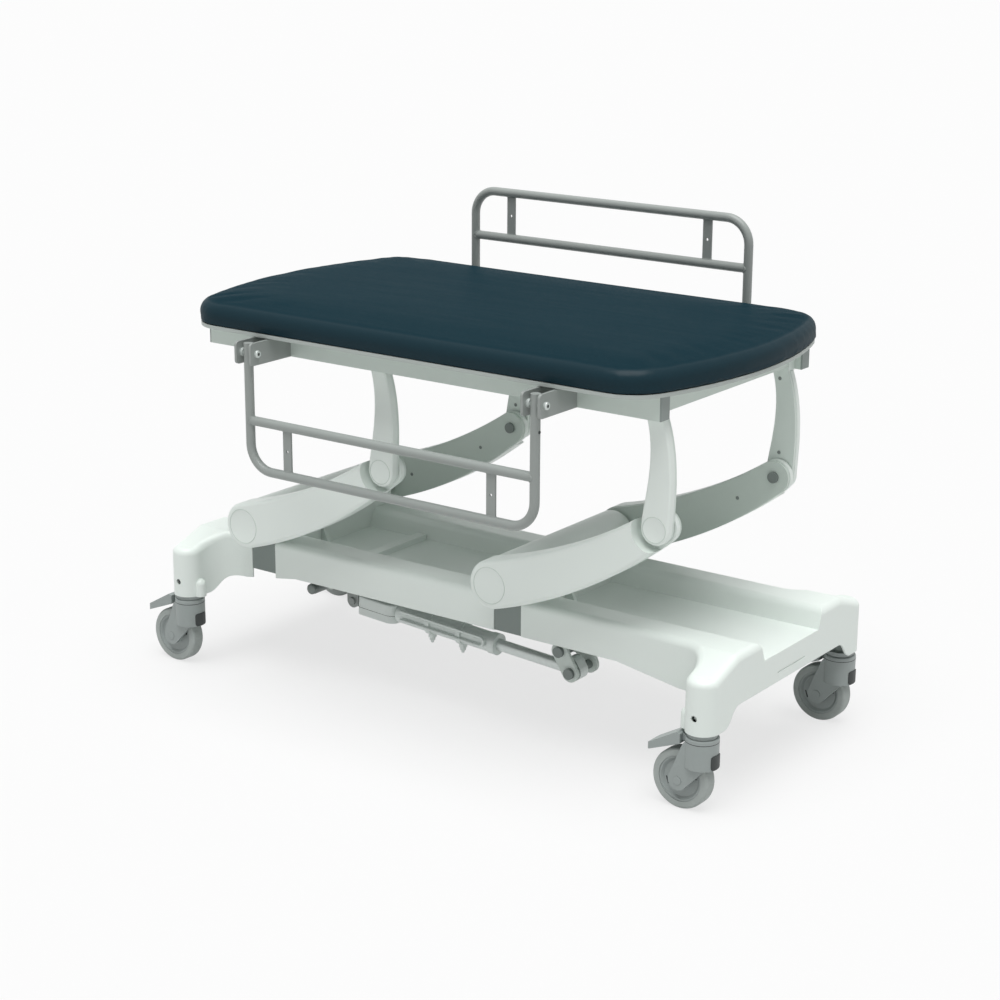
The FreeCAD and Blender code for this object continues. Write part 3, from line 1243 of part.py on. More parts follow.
def build_arms():
    for end, name in END_NAMES.items():
        save("torsion_tube_" + name, torsion_tube(end))
        save("lever_pins_" + name, lever_pins(end))
        for side, side_name in SIDE_NAMES.items():
            save("arm_plate_" + side_name + "_" + name, arm_plate(end, side))
            save("arm_cover_" + side_name + "_" + name, arm_cover(end, side))
    save("lever_plate", lever_plate())
    save("tie_rod", tie_rod())
    save("actuator_motor", actuator_motor())
    save("actuator_tube", actuator_tube())
    save("actuator_clamps", actuator_clamps())
    save("actuator_rod", actuator_rod())


def build_top():
    save("leg_plates", [leg_plate(end, side) for end, side in corners()])
    save("knee_bolts", knee_bolts())
    save("end_caps", end_caps())
    save("cross_members", cross_members())
    save("top_board", top_board())
    save("mattress", mattress())
    save("bracket_bolts", bracket_bolts())
    save("lock_plungers", lock_plungers())
    for side, name in SIDE_NAMES.items():
        save("leg_covers_" + name, [leg_cover(end, side) for end in (LEFT, RIGHT)])
        save("side_member_" + name, side_member(side))
        save("bracket_" + name, brackets(side))
        save("side_rail_" + name, side_rail(side))


def build_castors():
    pieces = {"housing": castor_housing(), "pedal": castor_pedal(), "axle": castor_axle(),
              "wheel": castor_wheel(), "tyre": castor_tyre()}
    for end, side in corners():
        for name, shape in pieces.items():
            save(name + "_" + SIDE_NAMES[side] + "_" + END_NAMES[end], placed(shape, end, side))


if __name__ == "__main__":
    os.makedirs("parts", exist_ok=True)
    build_base()
    build_arms()
    build_top()
    build_castors()
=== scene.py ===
"""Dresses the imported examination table: finishes, padded top, small fittings, light and camera.

Lengths are in metres, in the table's own frame: X along the table, +Y to the far side and Z up.
"""

import json
import logging
import math
from dataclasses import dataclass
from enum import Enum
from typing import Any, Union

import bmesh
import bpy
import numpy as np
from mathutils import Matrix, Vector

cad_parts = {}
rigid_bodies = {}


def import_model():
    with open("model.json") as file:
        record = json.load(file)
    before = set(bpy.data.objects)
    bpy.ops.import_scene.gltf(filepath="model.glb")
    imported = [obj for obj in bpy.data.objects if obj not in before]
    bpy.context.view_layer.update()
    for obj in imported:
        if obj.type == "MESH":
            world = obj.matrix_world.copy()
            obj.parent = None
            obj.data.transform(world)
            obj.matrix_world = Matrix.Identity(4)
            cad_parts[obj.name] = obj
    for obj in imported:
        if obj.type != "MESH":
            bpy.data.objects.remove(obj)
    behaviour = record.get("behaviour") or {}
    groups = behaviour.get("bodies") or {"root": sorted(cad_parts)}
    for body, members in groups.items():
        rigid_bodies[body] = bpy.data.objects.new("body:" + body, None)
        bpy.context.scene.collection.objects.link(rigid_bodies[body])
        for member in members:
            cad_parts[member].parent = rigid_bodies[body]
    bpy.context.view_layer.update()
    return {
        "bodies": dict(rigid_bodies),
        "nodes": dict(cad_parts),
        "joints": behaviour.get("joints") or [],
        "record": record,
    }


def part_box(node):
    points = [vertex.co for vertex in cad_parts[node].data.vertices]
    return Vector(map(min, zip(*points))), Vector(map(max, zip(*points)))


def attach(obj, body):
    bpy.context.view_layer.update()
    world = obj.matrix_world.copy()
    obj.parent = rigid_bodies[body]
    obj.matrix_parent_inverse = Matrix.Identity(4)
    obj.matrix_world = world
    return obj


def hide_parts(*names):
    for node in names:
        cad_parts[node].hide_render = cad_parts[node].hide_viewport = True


LOG = logging.getLogger("examination_table")

MM = 0.001
FULL_TURN = 2 * math.pi
MID = 0.5
BEVEL_SAMPLES = 4
EDGE_TURN = (0.005, 0.16)
SHARP = math.radians(40.0)
MERGED = 1e-6
SLIVER = 1e-7
DOME_ROWS = 6
ROUND_STEPS = 64
HEAD_STEPS = 20
THIN_STEPS = 8
ALONG, AWAY, UP = np.eye(3)

Colour = tuple[int, int, int]
Value = Union[float, tuple, "Wire"]


class Slot(Enum):
    """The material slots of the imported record."""

    MOULDING = "moulding"
    GREY_STEEL = "grey_steel"
    LIGHT_PAINT = "light_paint"
    SLOT_STEEL = "slot_steel"
    RAIL_PAINT = "rail_paint"
    BRIGHT_STEEL = "bright_steel"
    DARK_STEEL = "dark_steel"
    DARK_PLASTIC = "dark_plastic"
    CAP_PLASTIC = "cap_plastic"
    BEARING_PLASTIC = "bearing_plastic"
    ACTUATOR_GREY = "actuator_grey"
    MOTOR_GREY = "motor_grey"
    CASTOR_GREY = "castor_grey"
    TYRE = "tyre"
    VINYL = "vinyl"
    BOARD = "board"


class Side(Enum):
    """The near side faces the camera."""

    NEAR = "near"
    FAR = "far"

    @property
    def sign(self) -> int:
        """The sign of Y on this side."""
        return -1 if self is Side.NEAR else 1


class End(Enum):
    """The two ends of the table, as seen from the near side."""

    LEFT = "left"
    RIGHT = "right"


def linear(colour: Colour, scale: float = 1.0) -> tuple[float, float, float, float]:
    """Turns a display colour into the linear one that the shader takes.

    Args:
        colour: Red, green and blue from 0 to 255.
        scale: What the linear colour is multiplied by.

    Returns:
        Red, green, blue and an alpha of 1.
    """
    share = np.array(colour) / 255.0
    value = np.where(share <= 0.04045, share / 12.92, ((share + 0.055) / 1.055) ** 2.4) * scale
    return (*(float(x) for x in np.clip(value, 0.0, 1.0)), 1.0)


class Wire:
    """A value on its way through a node tree. Arithmetic on it adds Math nodes."""

    def __init__(self, nodes: "Nodes", socket: bpy.types.NodeSocket) -> None:
        """Keeps the tree and the socket that the value leaves from."""
        self.nodes = nodes
        self.socket = socket

    def math(self, operation: str, *values: Value) -> "Wire":
        """Adds one Math node on the given values."""
        return self.nodes.add("ShaderNodeMath", {"operation": operation}, dict(enumerate(values)))

    def __add__(self, other: Value) -> "Wire":
        """This value plus another."""
        return self.math("ADD", self, other)

    def __sub__(self, other: Value) -> "Wire":
        """This value less another."""
        return self.math("SUBTRACT", self, other)

    def __rsub__(self, other: Value) -> "Wire":
        """Another value less this one."""
        return self.math("SUBTRACT", other, self)

    def __mul__(self, other: Value) -> "Wire":
        """This value times another."""
        return self.math("MULTIPLY", self, other)

    def __truediv__(self, other: Value) -> "Wire":
        """This value over another."""
        return self.math("DIVIDE", self, other)

    def either(self, other: Value) -> "Wire":
        """The larger of this value and another."""
        return self.math("MAXIMUM", self, other)

    def between(self, low: float, high: float) -> "Wire":
        """A smooth step from 0 at the low value to 1 at the high one."""
        limits = {"Value": self, "From Min": low, "From Max": high}
        return self.nodes.add("ShaderNodeMapRange", {"interpolation_type": "SMOOTHSTEP"}, limits)


class Nodes:
    """A node tree that is built one node at a time."""

    def __init__(self, tree: bpy.types.NodeTree) -> None:
        """Keeps Blender's own tree."""
        self.tree = tree

    def add(self, kind: str, settings: dict[str, Any], inputs: dict[Any, Value], output: Any = 0) -> Wire:
        """Adds a node.

        Args:
            kind: The node's type in Blender.
            settings: Attributes of the node.
            inputs: Values or wires by the socket's name or number.
            output: The socket that the returned wire leaves from.

        Returns:
            The wire from that socket.
        """
        node = self.tree.nodes.new(kind)
        for name, value in settings.items():
            setattr(node, name, value)
        for key, value in inputs.items():
            self.feed(node.inputs[key], value)
        return Wire(self, node.outputs[output])

    def feed(self, socket: bpy.types.NodeSocket, value: Value) -> None:
        """Links a wire to a socket, or sets the socket's own value.

        Args:
            socket: The input socket.
            value: A wire, or a constant that fits the socket.
        """
        if isinstance(value, Wire):
            self.tree.links.new(value.socket, socket)
        else:
            socket.default_value = value

    def place(self, stretch: tuple[float, float, float] = (1.0, 1.0, 1.0)) -> Wire:
        """Object coordinates in metres, multiplied axis by axis.

        Args:
            stretch: The factor on each axis. A small one draws a pattern out along that axis.

        Returns:
            The wire with the coordinates.
        """
        here = self.add("ShaderNodeTexCoord", {}, {}, "Object")
        if stretch == (1.0, 1.0, 1.0):
            return here
        return self.add("ShaderNodeVectorMath", {"operation": "MULTIPLY"}, {0: here, 1: stretch})

    def noise(self, place: Wire, scale: float, detail: float = 2.0, rough: float = 0.5) -> Wire:
        """Soft noise from 0 to 1 with that many features a metre."""
        inputs = {"Vector": place, "Scale": scale, "Detail": detail, "Roughness": rough}
        return self.add("ShaderNodeTexNoise", {}, inputs, 0)

    def cells(self, place: Wire, scale: float, feature: str = "F1") -> Wire:
        """The distance to the nearest point or edge of scattered cells."""
        inputs = {"Vector": place, "Scale": scale}
        return self.add("ShaderNodeTexVoronoi", {"feature": feature}, inputs, "Distance")

    def mix(self, share: Value, first: Value, second: Value) -> Wire:
        """The first colour at a share of 0, and the second at 1."""
        return self.add("ShaderNodeMix", {"data_type": "RGBA"}, {0: share, 6: first, 7: second}, 2)

    def softened(self, radius: float) -> Wire:
        """The surface's normal with its edges rounded to a radius."""
        return self.add("ShaderNodeBevel", {"samples": BEVEL_SAMPLES}, {"Radius": radius})

    def edges(self, softened: Wire) -> Wire:
        """Finds edges by how far the softened normal turns from the true one.

        Args:
            softened: The normal with its edges rounded.

        Returns:
            0 on flat surfaces, and up to 1 on edges.
        """
        true_normal = self.add("ShaderNodeNewGeometry", {}, {}, "Normal")
        pair = {0: softened, 1: true_normal}
        turn = self.add("ShaderNodeVectorMath", {"operation": "DOT_PRODUCT"}, pair, "Value")
        return (1.0 - turn).between(*EDGE_TURN)

    def bump(self, height: Wire, depth: float, normal: Wire, strength: float = 1.0) -> Wire:
        """The normal of a surface with that height pattern, depth metres deep."""
        inputs = {"Height": height, "Distance": depth, "Strength": strength, "Normal": normal}
        return self.add("ShaderNodeBump", {}, inputs)


class Paint(Nodes):
    """The nodes of one material, with its Principled shader."""

    def __init__(self, name: str) -> None:
        """Makes an empty material.

        Args:
            name: The material's name.
        """
        self.material = bpy.data.materials.new(name)
        self.material.use_nodes = True
        super().__init__(self.material.node_tree)
        self.shader = self.tree.nodes["Principled BSDF"]

    def set(self, **values: Value) -> bpy.types.Material:
        """Feeds the shader's sockets.

        Args:
            values: Values or wires, by the socket's name with underscores for spaces.

        Returns:
            The material.
        """
        for name, value in values.items():
            self.feed(self.shader.inputs[name.replace("_", " ")], value)
        return self.material


@dataclass(frozen=True)
class Finish:
    """A named material of one colour."""

    name: str
    colour: Colour

    def material(self) -> bpy.types.Material:
        """Builds the material, in each finish's own way."""
        raise NotImplementedError

    def tint(self, scale: float) -> tuple[float, float, float, float]:
        """The colour, darker or lighter by that factor."""
        return linear(self.colour, scale)


@dataclass(frozen=True)
class Coating(Finish):
    """A moulded, painted or anodised surface with fine grain and softened edges."""

    roughness: float = 0.4
    metallic: float = 0.0
    gloss: float = 0.5
    mottle: float = 0.03
    mottle_scale: float = 5.0
    grain: float = 0.9 * MM
    grain_depth: float = 0.02 * MM
    speck: float = 0.015
    edge: float = 1.0 * MM
    worn: float = 1.12
    worn_share: float = 0.7
    rub: float = 0.06
    rub_fineness: float = 9.0
    rub_from: float = 0.52
    rub_full: float = 0.74
    rub_shade: float = 0.3
    grit: float = 0.05
    least_reach: float = 0.0005

    def material(self) -> bpy.types.Material:
        """Builds the material.

        Colour is the base colour, lighter and darker by the mottle over hand-sized patches, with
        fine specks, and moved towards a worn tone along edges. Rubbed patches are a little darker
        and rougher.

        Returns:
            The finished material.
        """
        paint = Paint(self.name)
        here = paint.place()
        broad = paint.noise(here, self.mottle_scale, detail=3.0)
        fine = paint.noise(here, 1.0 / self.grain)
        rubbed = paint.noise(here, self.rub_fineness * self.mottle_scale, detail=4.0, rough=0.6)
        rubbed = rubbed.between(self.rub_from, self.rub_full)
        softened = paint.softened(self.edge)
        edge = paint.edges(softened)
        tone = (broad - MID) * (2 * self.mottle) + (fine - MID) * (2 * self.speck)
        tone = tone - rubbed * (self.rub_shade * self.mottle)
        reach = self.mottle + self.speck + self.least_reach
        dark, light = self.tint(1.0 - reach), self.tint(1.0 + reach)
        body = paint.mix(tone / (2 * reach) + MID, dark, light)
        colour = paint.mix(edge * self.worn_share, body, self.tint(self.worn))
        rough = rubbed * self.rub + (fine - MID) * self.grit + self.roughness
        normal = paint.bump(fine, self.grain_depth, softened)
        paint.set(Base_Color=colour, Roughness=rough, Normal=normal)
        return paint.set(Metallic=self.metallic, Specular_IOR_Level=self.gloss)


@dataclass(frozen=True)
class Brushed(Finish):
    """Bare steel with fine lines across it."""

    roughness: float = 0.4
    metallic: float = 0.5
    line: float = 0.25 * MM
    line_depth: float = 0.015 * MM
    line_rough: float = 0.12
    stretch: tuple[float, float, float] = (1.0, 0.05, 1.0)
    stain_scale: float = 60.0
    edge: float = 0.6 * MM
    dark: float = 0.78
    light: float = 1.15

    def material(self) -> bpy.types.Material:
        """Fine noise drawn out along one axis tints the metal and lifts it in thin lines.

        Returns:
            The finished material.
        """
        paint = Paint(self.name)
        lines = paint.noise(paint.place(self.stretch), 1.0 / self.line, detail=3.0, rough=0.65)
        stain = paint.noise(paint.place(), self.stain_scale, detail=3.0)
        softened = paint.softened(self.edge)
        share = lines * MID + stain * MID
        tone = paint.mix(share, self.tint(self.dark), self.tint(self.light))
        normal = paint.bump(lines, self.line_depth, softened)
        rough = (lines - MID) * self.line_rough + self.roughness
        return paint.set(Base_Color=tone, Roughness=rough, Metallic=self.metallic, Normal=normal)


@dataclass(frozen=True)
class Rubber(Finish):
    """A grey non-marking tread with pits and pale dust."""

    roughness: float = 0.62
    gloss: float = 0.3
    cloud_scale: float = 45.0
    pit_scale: float = 900.0
    pit_depth: float = 0.04 * MM
    dark: float = 0.9
    light: float = 1.08
    dust_scale: float = 130.0
    dusty: tuple[float, float] = (0.45, 0.8)
    dust_shade: float = 1.25
    dust_share: float = 0.35
    dust_rough: float = 0.15
    edge: float = 1.0 * MM

    def material(self) -> bpy.types.Material:
        """Cloudy grey with tiny pits and dusty patches.

        Returns:
            The finished material.
        """
        paint = Paint(self.name)
        here = paint.place()
        cloud = paint.noise(here, self.cloud_scale, detail=4.0)
        pits = paint.cells(here, self.pit_scale)
        softened = paint.softened(self.edge)
        dust = paint.noise(here, self.dust_scale, detail=3.0).between(*self.dusty)
        body = paint.mix(cloud, self.tint(self.dark), self.tint(self.light))
        colour = paint.mix(dust * self.dust_share, body, self.tint(self.dust_shade))
        normal = paint.bump(pits, self.pit_depth, softened)
        rough = dust * self.dust_rough + self.roughness
        return paint.set(Base_Color=colour, Roughness=rough, Normal=normal, Specular_IOR_Level=self.gloss)


@dataclass(frozen=True)
class Vinyl(Finish):
    """Vinyl-coated cloth: pebbled grain with painted shade in its furrows, soft creases, a dull sheen and a
    painted sheen on its rounded edge.
    """

    roughness: float = 0.42
    gloss: float = 0.004
    dark: float = 0.86
    light: float = 1.16
    tone_parts: tuple[float, float, float] = (0.45, 0.35, 0.2)
    broad_scale: float = 3.0
    streak_rough: float = 0.16
    furrow_rough: float = 0.12
    warp_scale: float = 300.0
    streaks: tuple[float, float, float] = (6.0, 90.0, 90.0)
    creases: tuple[float, float, float] = (5.0, 9.0, 9.0)
    furrow: tuple[float, float] = (0.02, 0.22)
    # Painted shade: how dark the furrows between the pebbles are made.
    furrow_painted_shade: float = 0.78
    # Painted sheen: the coat's weight and roughness where the surface turns away from level.
    painted_sheen: float = 0.22
    painted_sheen_rough: float = 0.34
    level_from: float = 0.88
    level_full: float = 0.995
    pebble: float = 1.6 * MM
    pebble_depth: float = 0.07 * MM
    pebble_share: float = 0.75
    crease_depth: float = 2.2 * MM
    crease_strength: float = 0.35
    edge: float = 0.8 * MM

    def material(self) -> bpy.types.Material:
        """Rounded cells make the pebbles, thin furrows part them and are painted darker as shade, and long
        faint streaks run along X.

        A painted sheen: the coat is laid on only where the surface turns away from level, so that a highlight
        shows on the rounded edge and not on the top.

        Returns:
            The finished material.
        """
        paint = Paint(self.name)
        here = paint.place()
        warp = paint.noise(here, self.warp_scale)
        furrow = paint.cells(here, 1.0 / self.pebble, "DISTANCE_TO_EDGE").between(*self.furrow)
        broad = paint.noise(here, self.broad_scale, detail=3.0)
        streak = paint.noise(paint.place(self.streaks), 1.0, detail=3.0, rough=0.6)
        crease = paint.noise(paint.place(self.creases), 1.0, rough=0.4)
        softened = paint.softened(self.edge)
        tone = broad * self.tone_parts[0] + streak * self.tone_parts[1] + warp * self.tone_parts[2]
        body = paint.mix(tone, self.tint(self.dark), self.tint(self.light))
        # Painted shade in the furrows between the pebbles.
        colour = paint.mix(furrow, self.tint(self.furrow_painted_shade), body)
        low = paint.bump(crease, self.crease_depth, softened, self.crease_strength)
        pebbles = furrow * self.pebble_share + warp * (1.0 - self.pebble_share)
        normal = paint.bump(pebbles, self.pebble_depth, low)
        rough = (streak - MID) * self.streak_rough + (1.0 - furrow) * self.furrow_rough + self.roughness
        # Painted sheen: a coat only where the normal turns away from level.
        facing = paint.add("ShaderNodeNewGeometry", {}, {}, "Normal")
        height = paint.add("ShaderNodeSeparateXYZ", {}, {0: facing}, "Z")
        coat = (1.0 - height.between(self.level_from, self.level_full)) * self.painted_sheen
        paint.set(Base_Color=colour, Roughness=rough, Normal=normal, Coat_Weight=coat)
        return paint.set(Specular_IOR_Level=self.gloss, Coat_Roughness=self.painted_sheen_rough)


@dataclass(frozen=True)
class Laminate(Finish):
    """A pale faced board with a fine straight grain."""

    roughness: float = 0.45
    grain: tuple[float, float, float] = (12.0, 400.0, 400.0)
    grain_depth: float = 0.05 * MM
    grain_share: float = 0.6
    grain_rough: float = 0.1
    cloud_scale: float = 7.0
    dark: float = 0.86
    light: float = 1.1
    edge: float = 0.8 * MM

    def material(self) -> bpy.types.Material:
        """Noise drawn out along X tints the board in faint lines.

        Returns:
            The finished material.
        """
        paint = Paint(self.name)
        grain = paint.noise(paint.place(self.grain), 1.0, detail=4.0, rough=0.6)
        cloud = paint.noise(paint.place(), self.cloud_scale, detail=3.0)
        softened = paint.softened(self.edge)
        share = grain * self.grain_share + cloud * (1.0 - self.grain_share)
        colour = paint.mix(share, self.tint(self.dark), self.tint(self.light))
        normal = paint.bump(grain, self.grain_depth, softened)
        rough = grain * self.grain_rough + self.roughness
        return paint.set(Base_Color=colour, Roughness=rough, Normal=normal)


FINISHES: dict[Slot, Finish] = {
    Slot.MOULDING: Coating("greenish_white_moulding", (229, 237, 232), 0.36, mottle=0.012, speck=0.006,
                           edge=1.2 * MM, worn=1.03, grain_depth=0.012 * MM),
    Slot.GREY_STEEL: Coating("grey_green_steel", (204, 215, 208), 0.42, mottle=0.03, grain_depth=0.03 * MM),
    Slot.LIGHT_PAINT: Coating("light_grey_green_paint", (214, 224, 218), 0.4, mottle=0.02),
    Slot.SLOT_STEEL: Coating("dark_grey_steel", (128, 138, 134), 0.48, mottle=0.04),
    Slot.RAIL_PAINT: Coating("mid_grey_rail_paint", (148, 154, 151), 0.4, mottle=0.025, grain_depth=0.03 * MM),
    Slot.BRIGHT_STEEL: Brushed("bright_steel", (214, 221, 218)),
    Slot.DARK_STEEL: Coating("dull_zinc", (124, 132, 129), 0.42, metallic=0.25, mottle=0.05, worn=1.3),
    Slot.DARK_PLASTIC: Coating("dark_plastic", (50, 55, 54), 0.5, mottle=0.05, grain_depth=0.04 * MM),
    Slot.CAP_PLASTIC: Coating("cap_grey", (136, 145, 142), 0.5, mottle=0.04, grain_depth=0.03 * MM),
    Slot.BEARING_PLASTIC: Coating("bearing_plastic", (196, 199, 194), 0.45),
    Slot.ACTUATOR_GREY: Coating("satin_aluminium", (224, 232, 228), 0.4, metallic=0.1, mottle=0.03),
    Slot.MOTOR_GREY: Coating("motor_housing_grey", (228, 236, 232), 0.42, mottle=0.02),
    Slot.CASTOR_GREY: Coating("castor_grey", (152, 160, 158), 0.42, mottle=0.035, grain_depth=0.04 * MM,
                              rub=0.1),
    Slot.TYRE: Rubber("grey_tyre", (168, 175, 172)),
    Slot.VINYL: Vinyl("dark_teal_vinyl", (24, 49, 58)),
    Slot.BOARD: Laminate("pale_board", (176, 184, 180)),
}

REPAINTED: dict[str, Slot] = {
    "side_member_near": Slot.GREY_STEEL,
    "side_member_far": Slot.GREY_STEEL,
    "cross_members": Slot.GREY_STEEL,
}


class Wardrobe:
    """Makes each finish once, and gives it to nodes and pieces."""

    def __init__(self) -> None:
        """Starts with no material made."""
        self.made: dict[Slot, bpy.types.Material] = {}

    def finish(self, slot: Slot) -> bpy.types.Material:
        """Makes a slot's material when it is first asked for, and keeps it.

        Args:
            slot: The slot of the record.

        Returns:
            The material.
        """
        if slot not in self.made:
            self.made[slot] = FINISHES[slot].material()
        return self.made[slot]

    def wear(self, piece: bpy.types.Object, slot: Slot) -> None:
        """Puts the slot's material on an object, and nothing else."""
        piece.data.materials.clear()
        piece.data.materials.append(self.finish(slot))

    def dress(self, frame: dict[str, Any]) -> None:
        """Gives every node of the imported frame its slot's material, or a repainted one's own.
        """
        for row in frame["record"]["subparts"]:
            slot = REPAINTED.get(row["node"], Slot(row["material_slot"]))
            self.wear(frame["nodes"][row["node"]], slot)
            LOG.info("node %s wears %s", row["node"], slot.value)


class Mould:
    """Collects surfaces on grids and makes them one closed piece."""

    def __init__(self) -> None:
        """Starts empty."""
        self.points: list[np.ndarray] = []
        self.faces: list[np.ndarray] = []
        self.count = 0

    def grid(self, surface: np.ndarray, close_rows: bool = False) -> "Mould":
        """Adds a grid of points, joined as quads, with the last column joined to the first.

        Args:
            surface: Points as an array of rows, columns and three coordinates.
            close_rows: Joins the last row to the first as well.

        Returns:
            The mould itself.
        """
        rows, columns = surface.shape[:2]
        index = np.arange(rows * columns).reshape(rows, columns) + self.count
        if close_rows:
            index = np.vstack([index, index[:1]])
        index = np.hstack([index, index[:, :1]])
        quads = np.stack([index[:-1, :-1], index[:-1, 1:], index[1:, 1:], index[1:, :-1]], axis=-1)
        self.points.append(surface.reshape(-1, 3))
        self.faces.append(quads.reshape(-1, 4))
        self.count += rows * columns
        return self

    def turned(self, profile: np.ndarray, centre: np.ndarray, axis: np.ndarray, steps: int) -> "Mould":
        """Adds a profile of (radius, height) rows turned about an axis.

        A point is the centre, plus the height along the axis, plus the radius along the cosine of
        the angle times one cross direction and its sine times the other.

        Args:
            profile: Radius and height of each row, from one end of the axis to the other.
            centre: The point where the height is nothing.
            axis: The direction of the axis.
            steps: How many columns go round.

        Returns:
            The mould itself.
        """
        along = axis / np.linalg.norm(axis)
        helper = UP if abs(along[2]) < 0.9 else ALONG
        first = np.cross(helper, along)
        first /= np.linalg.norm(first)
        second = np.cross(along, first)
        angle = np.linspace(0.0, FULL_TURN, steps, endpoint=False)
        spoke = np.cos(angle)[:, None] * first + np.sin(angle)[:, None] * second
        surface = centre + profile[:, 0, None, None] * spoke + profile[:, 1, None, None] * along
        return self.grid(surface)

    def wire(self, path: np.ndarray, lean: np.ndarray, radius: float, closed: bool = False,
             steps: int = 12) -> "Mould":
        """Adds a round wire along a path.

        At each point the section lies across the path: one direction is the lean less its share
        along the path, and the other is square to both.

        Args:
            path: Points of the centre line.
            lean: A direction at each point, or one for all, that isn't along the path.
            radius: The wire's radius.
            closed: Joins the last point to the first, without end caps.
            steps: How many columns go round.

        Returns:
            The mould itself.
        """
        if closed:
            run = np.roll(path, -1, axis=0) - np.roll(path, 1, axis=0)
        else:
            run = np.gradient(path, axis=0)
        run = run / np.linalg.norm(run, axis=1, keepdims=True)
        lean = np.broadcast_to(lean, path.shape)
        first = lean - (lean * run).sum(axis=1, keepdims=True) * run
        first = first / np.linalg.norm(first, axis=1, keepdims=True)
        second = np.cross(run, first)
        angle = np.linspace(0.0, FULL_TURN, steps, endpoint=False)
        spoke = np.cos(angle)[None, :, None] * first[:, None] + np.sin(angle)[None, :, None] * second[:, None]
        surface = path[:, None] + radius * spoke
        if not closed:
            swell = np.array([0.0, 0.7, 1.0])[:, None, None]
            drop = np.array([1.0, 0.7, 0.0])[:, None, None] * radius
            head = path[0] - drop * run[0] + swell * radius * spoke[0]
            tail = (path[-1] + drop * run[-1] + swell * radius * spoke[-1])[::-1]
            surface = np.concatenate([head, surface[1:-1], tail])
        return self.grid(surface, close_rows=closed)

    def piece(self, name: str, body: str, slot: Slot, wardrobe: Wardrobe,
              smooth: bool = True) -> bpy.types.Object:
        """Makes the object, merges its poles and points its faces outwards.

        Args:
            name: The piece's name.
            body: The body of the frame that it rides on.
            slot: The material slot that it takes its finish from.
            wardrobe: Where the finish comes from.
            smooth: Shades the piece smooth, with sharp edges kept.

        Returns:
            The new object.
        """
        mesh = bpy.data.meshes.new(name)
        mesh.from_pydata(np.concatenate(self.points).tolist(), [], np.concatenate(self.faces).tolist())
        work = bmesh.new()
        work.from_mesh(mesh)
        bmesh.ops.remove_doubles(work, verts=work.verts, dist=MERGED)
        bmesh.ops.dissolve_degenerate(work, edges=work.edges, dist=SLIVER)
        bmesh.ops.recalc_face_normals(work, faces=work.faces)
        work.to_mesh(mesh)
        work.free()
        made = bpy.data.objects.new(name, mesh)
        bpy.context.scene.collection.objects.link(made)
        if smooth:
            mesh.shade_smooth()
            mesh.set_sharp_from_angle(angle=SHARP)
        wardrobe.wear(made, slot)
        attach(made, body)
        LOG.info("made %s on %s: %d faces", name, body, len(mesh.polygons))
        return made


def circle(angle: np.ndarray) -> np.ndarray:
    """Points of the unit circle at those angles, as rows of x and y."""
    return np.stack([np.cos(angle), np.sin(angle)], axis=1)


def dome(radius: float, rise: float, seat: float) -> np.ndarray:
    """The profile of a low round head: an upright rim, then a quarter of an ellipse.

    Args:
        radius: The head's radius.
        rise: The height of the curved part.
        seat: The height of the upright rim.

    Returns:
        Rows of radius and height, closed at both ends.
    """
    angle = np.linspace(0.0, math.pi / 2, DOME_ROWS)
    curve = np.stack([radius * np.cos(angle), seat + rise * np.sin(angle)], axis=1)
    return np.concatenate([[[0.0, 0.0], [radius, 0.0]], curve])


def hexagon(radius: float, rise: float) -> np.ndarray:
    """The profile of a thin plate, turned in six steps for a hexagon."""
    return np.array([[0.0, 0.0], [radius, 0.0], [radius, rise], [0.0, rise]])


def band(radius: float, width: float, rise: float) -> np.ndarray:
    """The closed profile of a thin band round a shaft: half an ellipse on a straight base.

    Args:
        radius: The shaft's radius.
        width: The band's width along the shaft.
        rise: How far its middle stands out. Its base lies half of that inside the shaft.

    Returns:
        Rows of radius and height.
    """
    angle = np.linspace(0.0, math.pi, 7)
    outside = np.stack([radius + rise * np.sin(angle), -width / 2 * np.cos(angle)], axis=1)
    return np.concatenate([[[radius - rise / 2, -width / 2]], outside, [[radius - rise / 2, width / 2]]])


class Places:
    """Where the frame's joints and nodes are."""

    def __init__(self, frame: dict[str, Any]) -> None:
        """Keeps every joint by name."""
        self.joints = {joint["name"]: joint for joint in frame["joints"]}

    def pivot(self, name: str) -> np.ndarray:
        """The point that a joint turns about."""
        return np.array(self.joints[name]["pos_m"], float)

    def corners(self, node: str) -> tuple[np.ndarray, np.ndarray]:
        """The lowest and highest corner of a node."""
        low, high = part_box(node)
        return np.array(low), np.array(high)


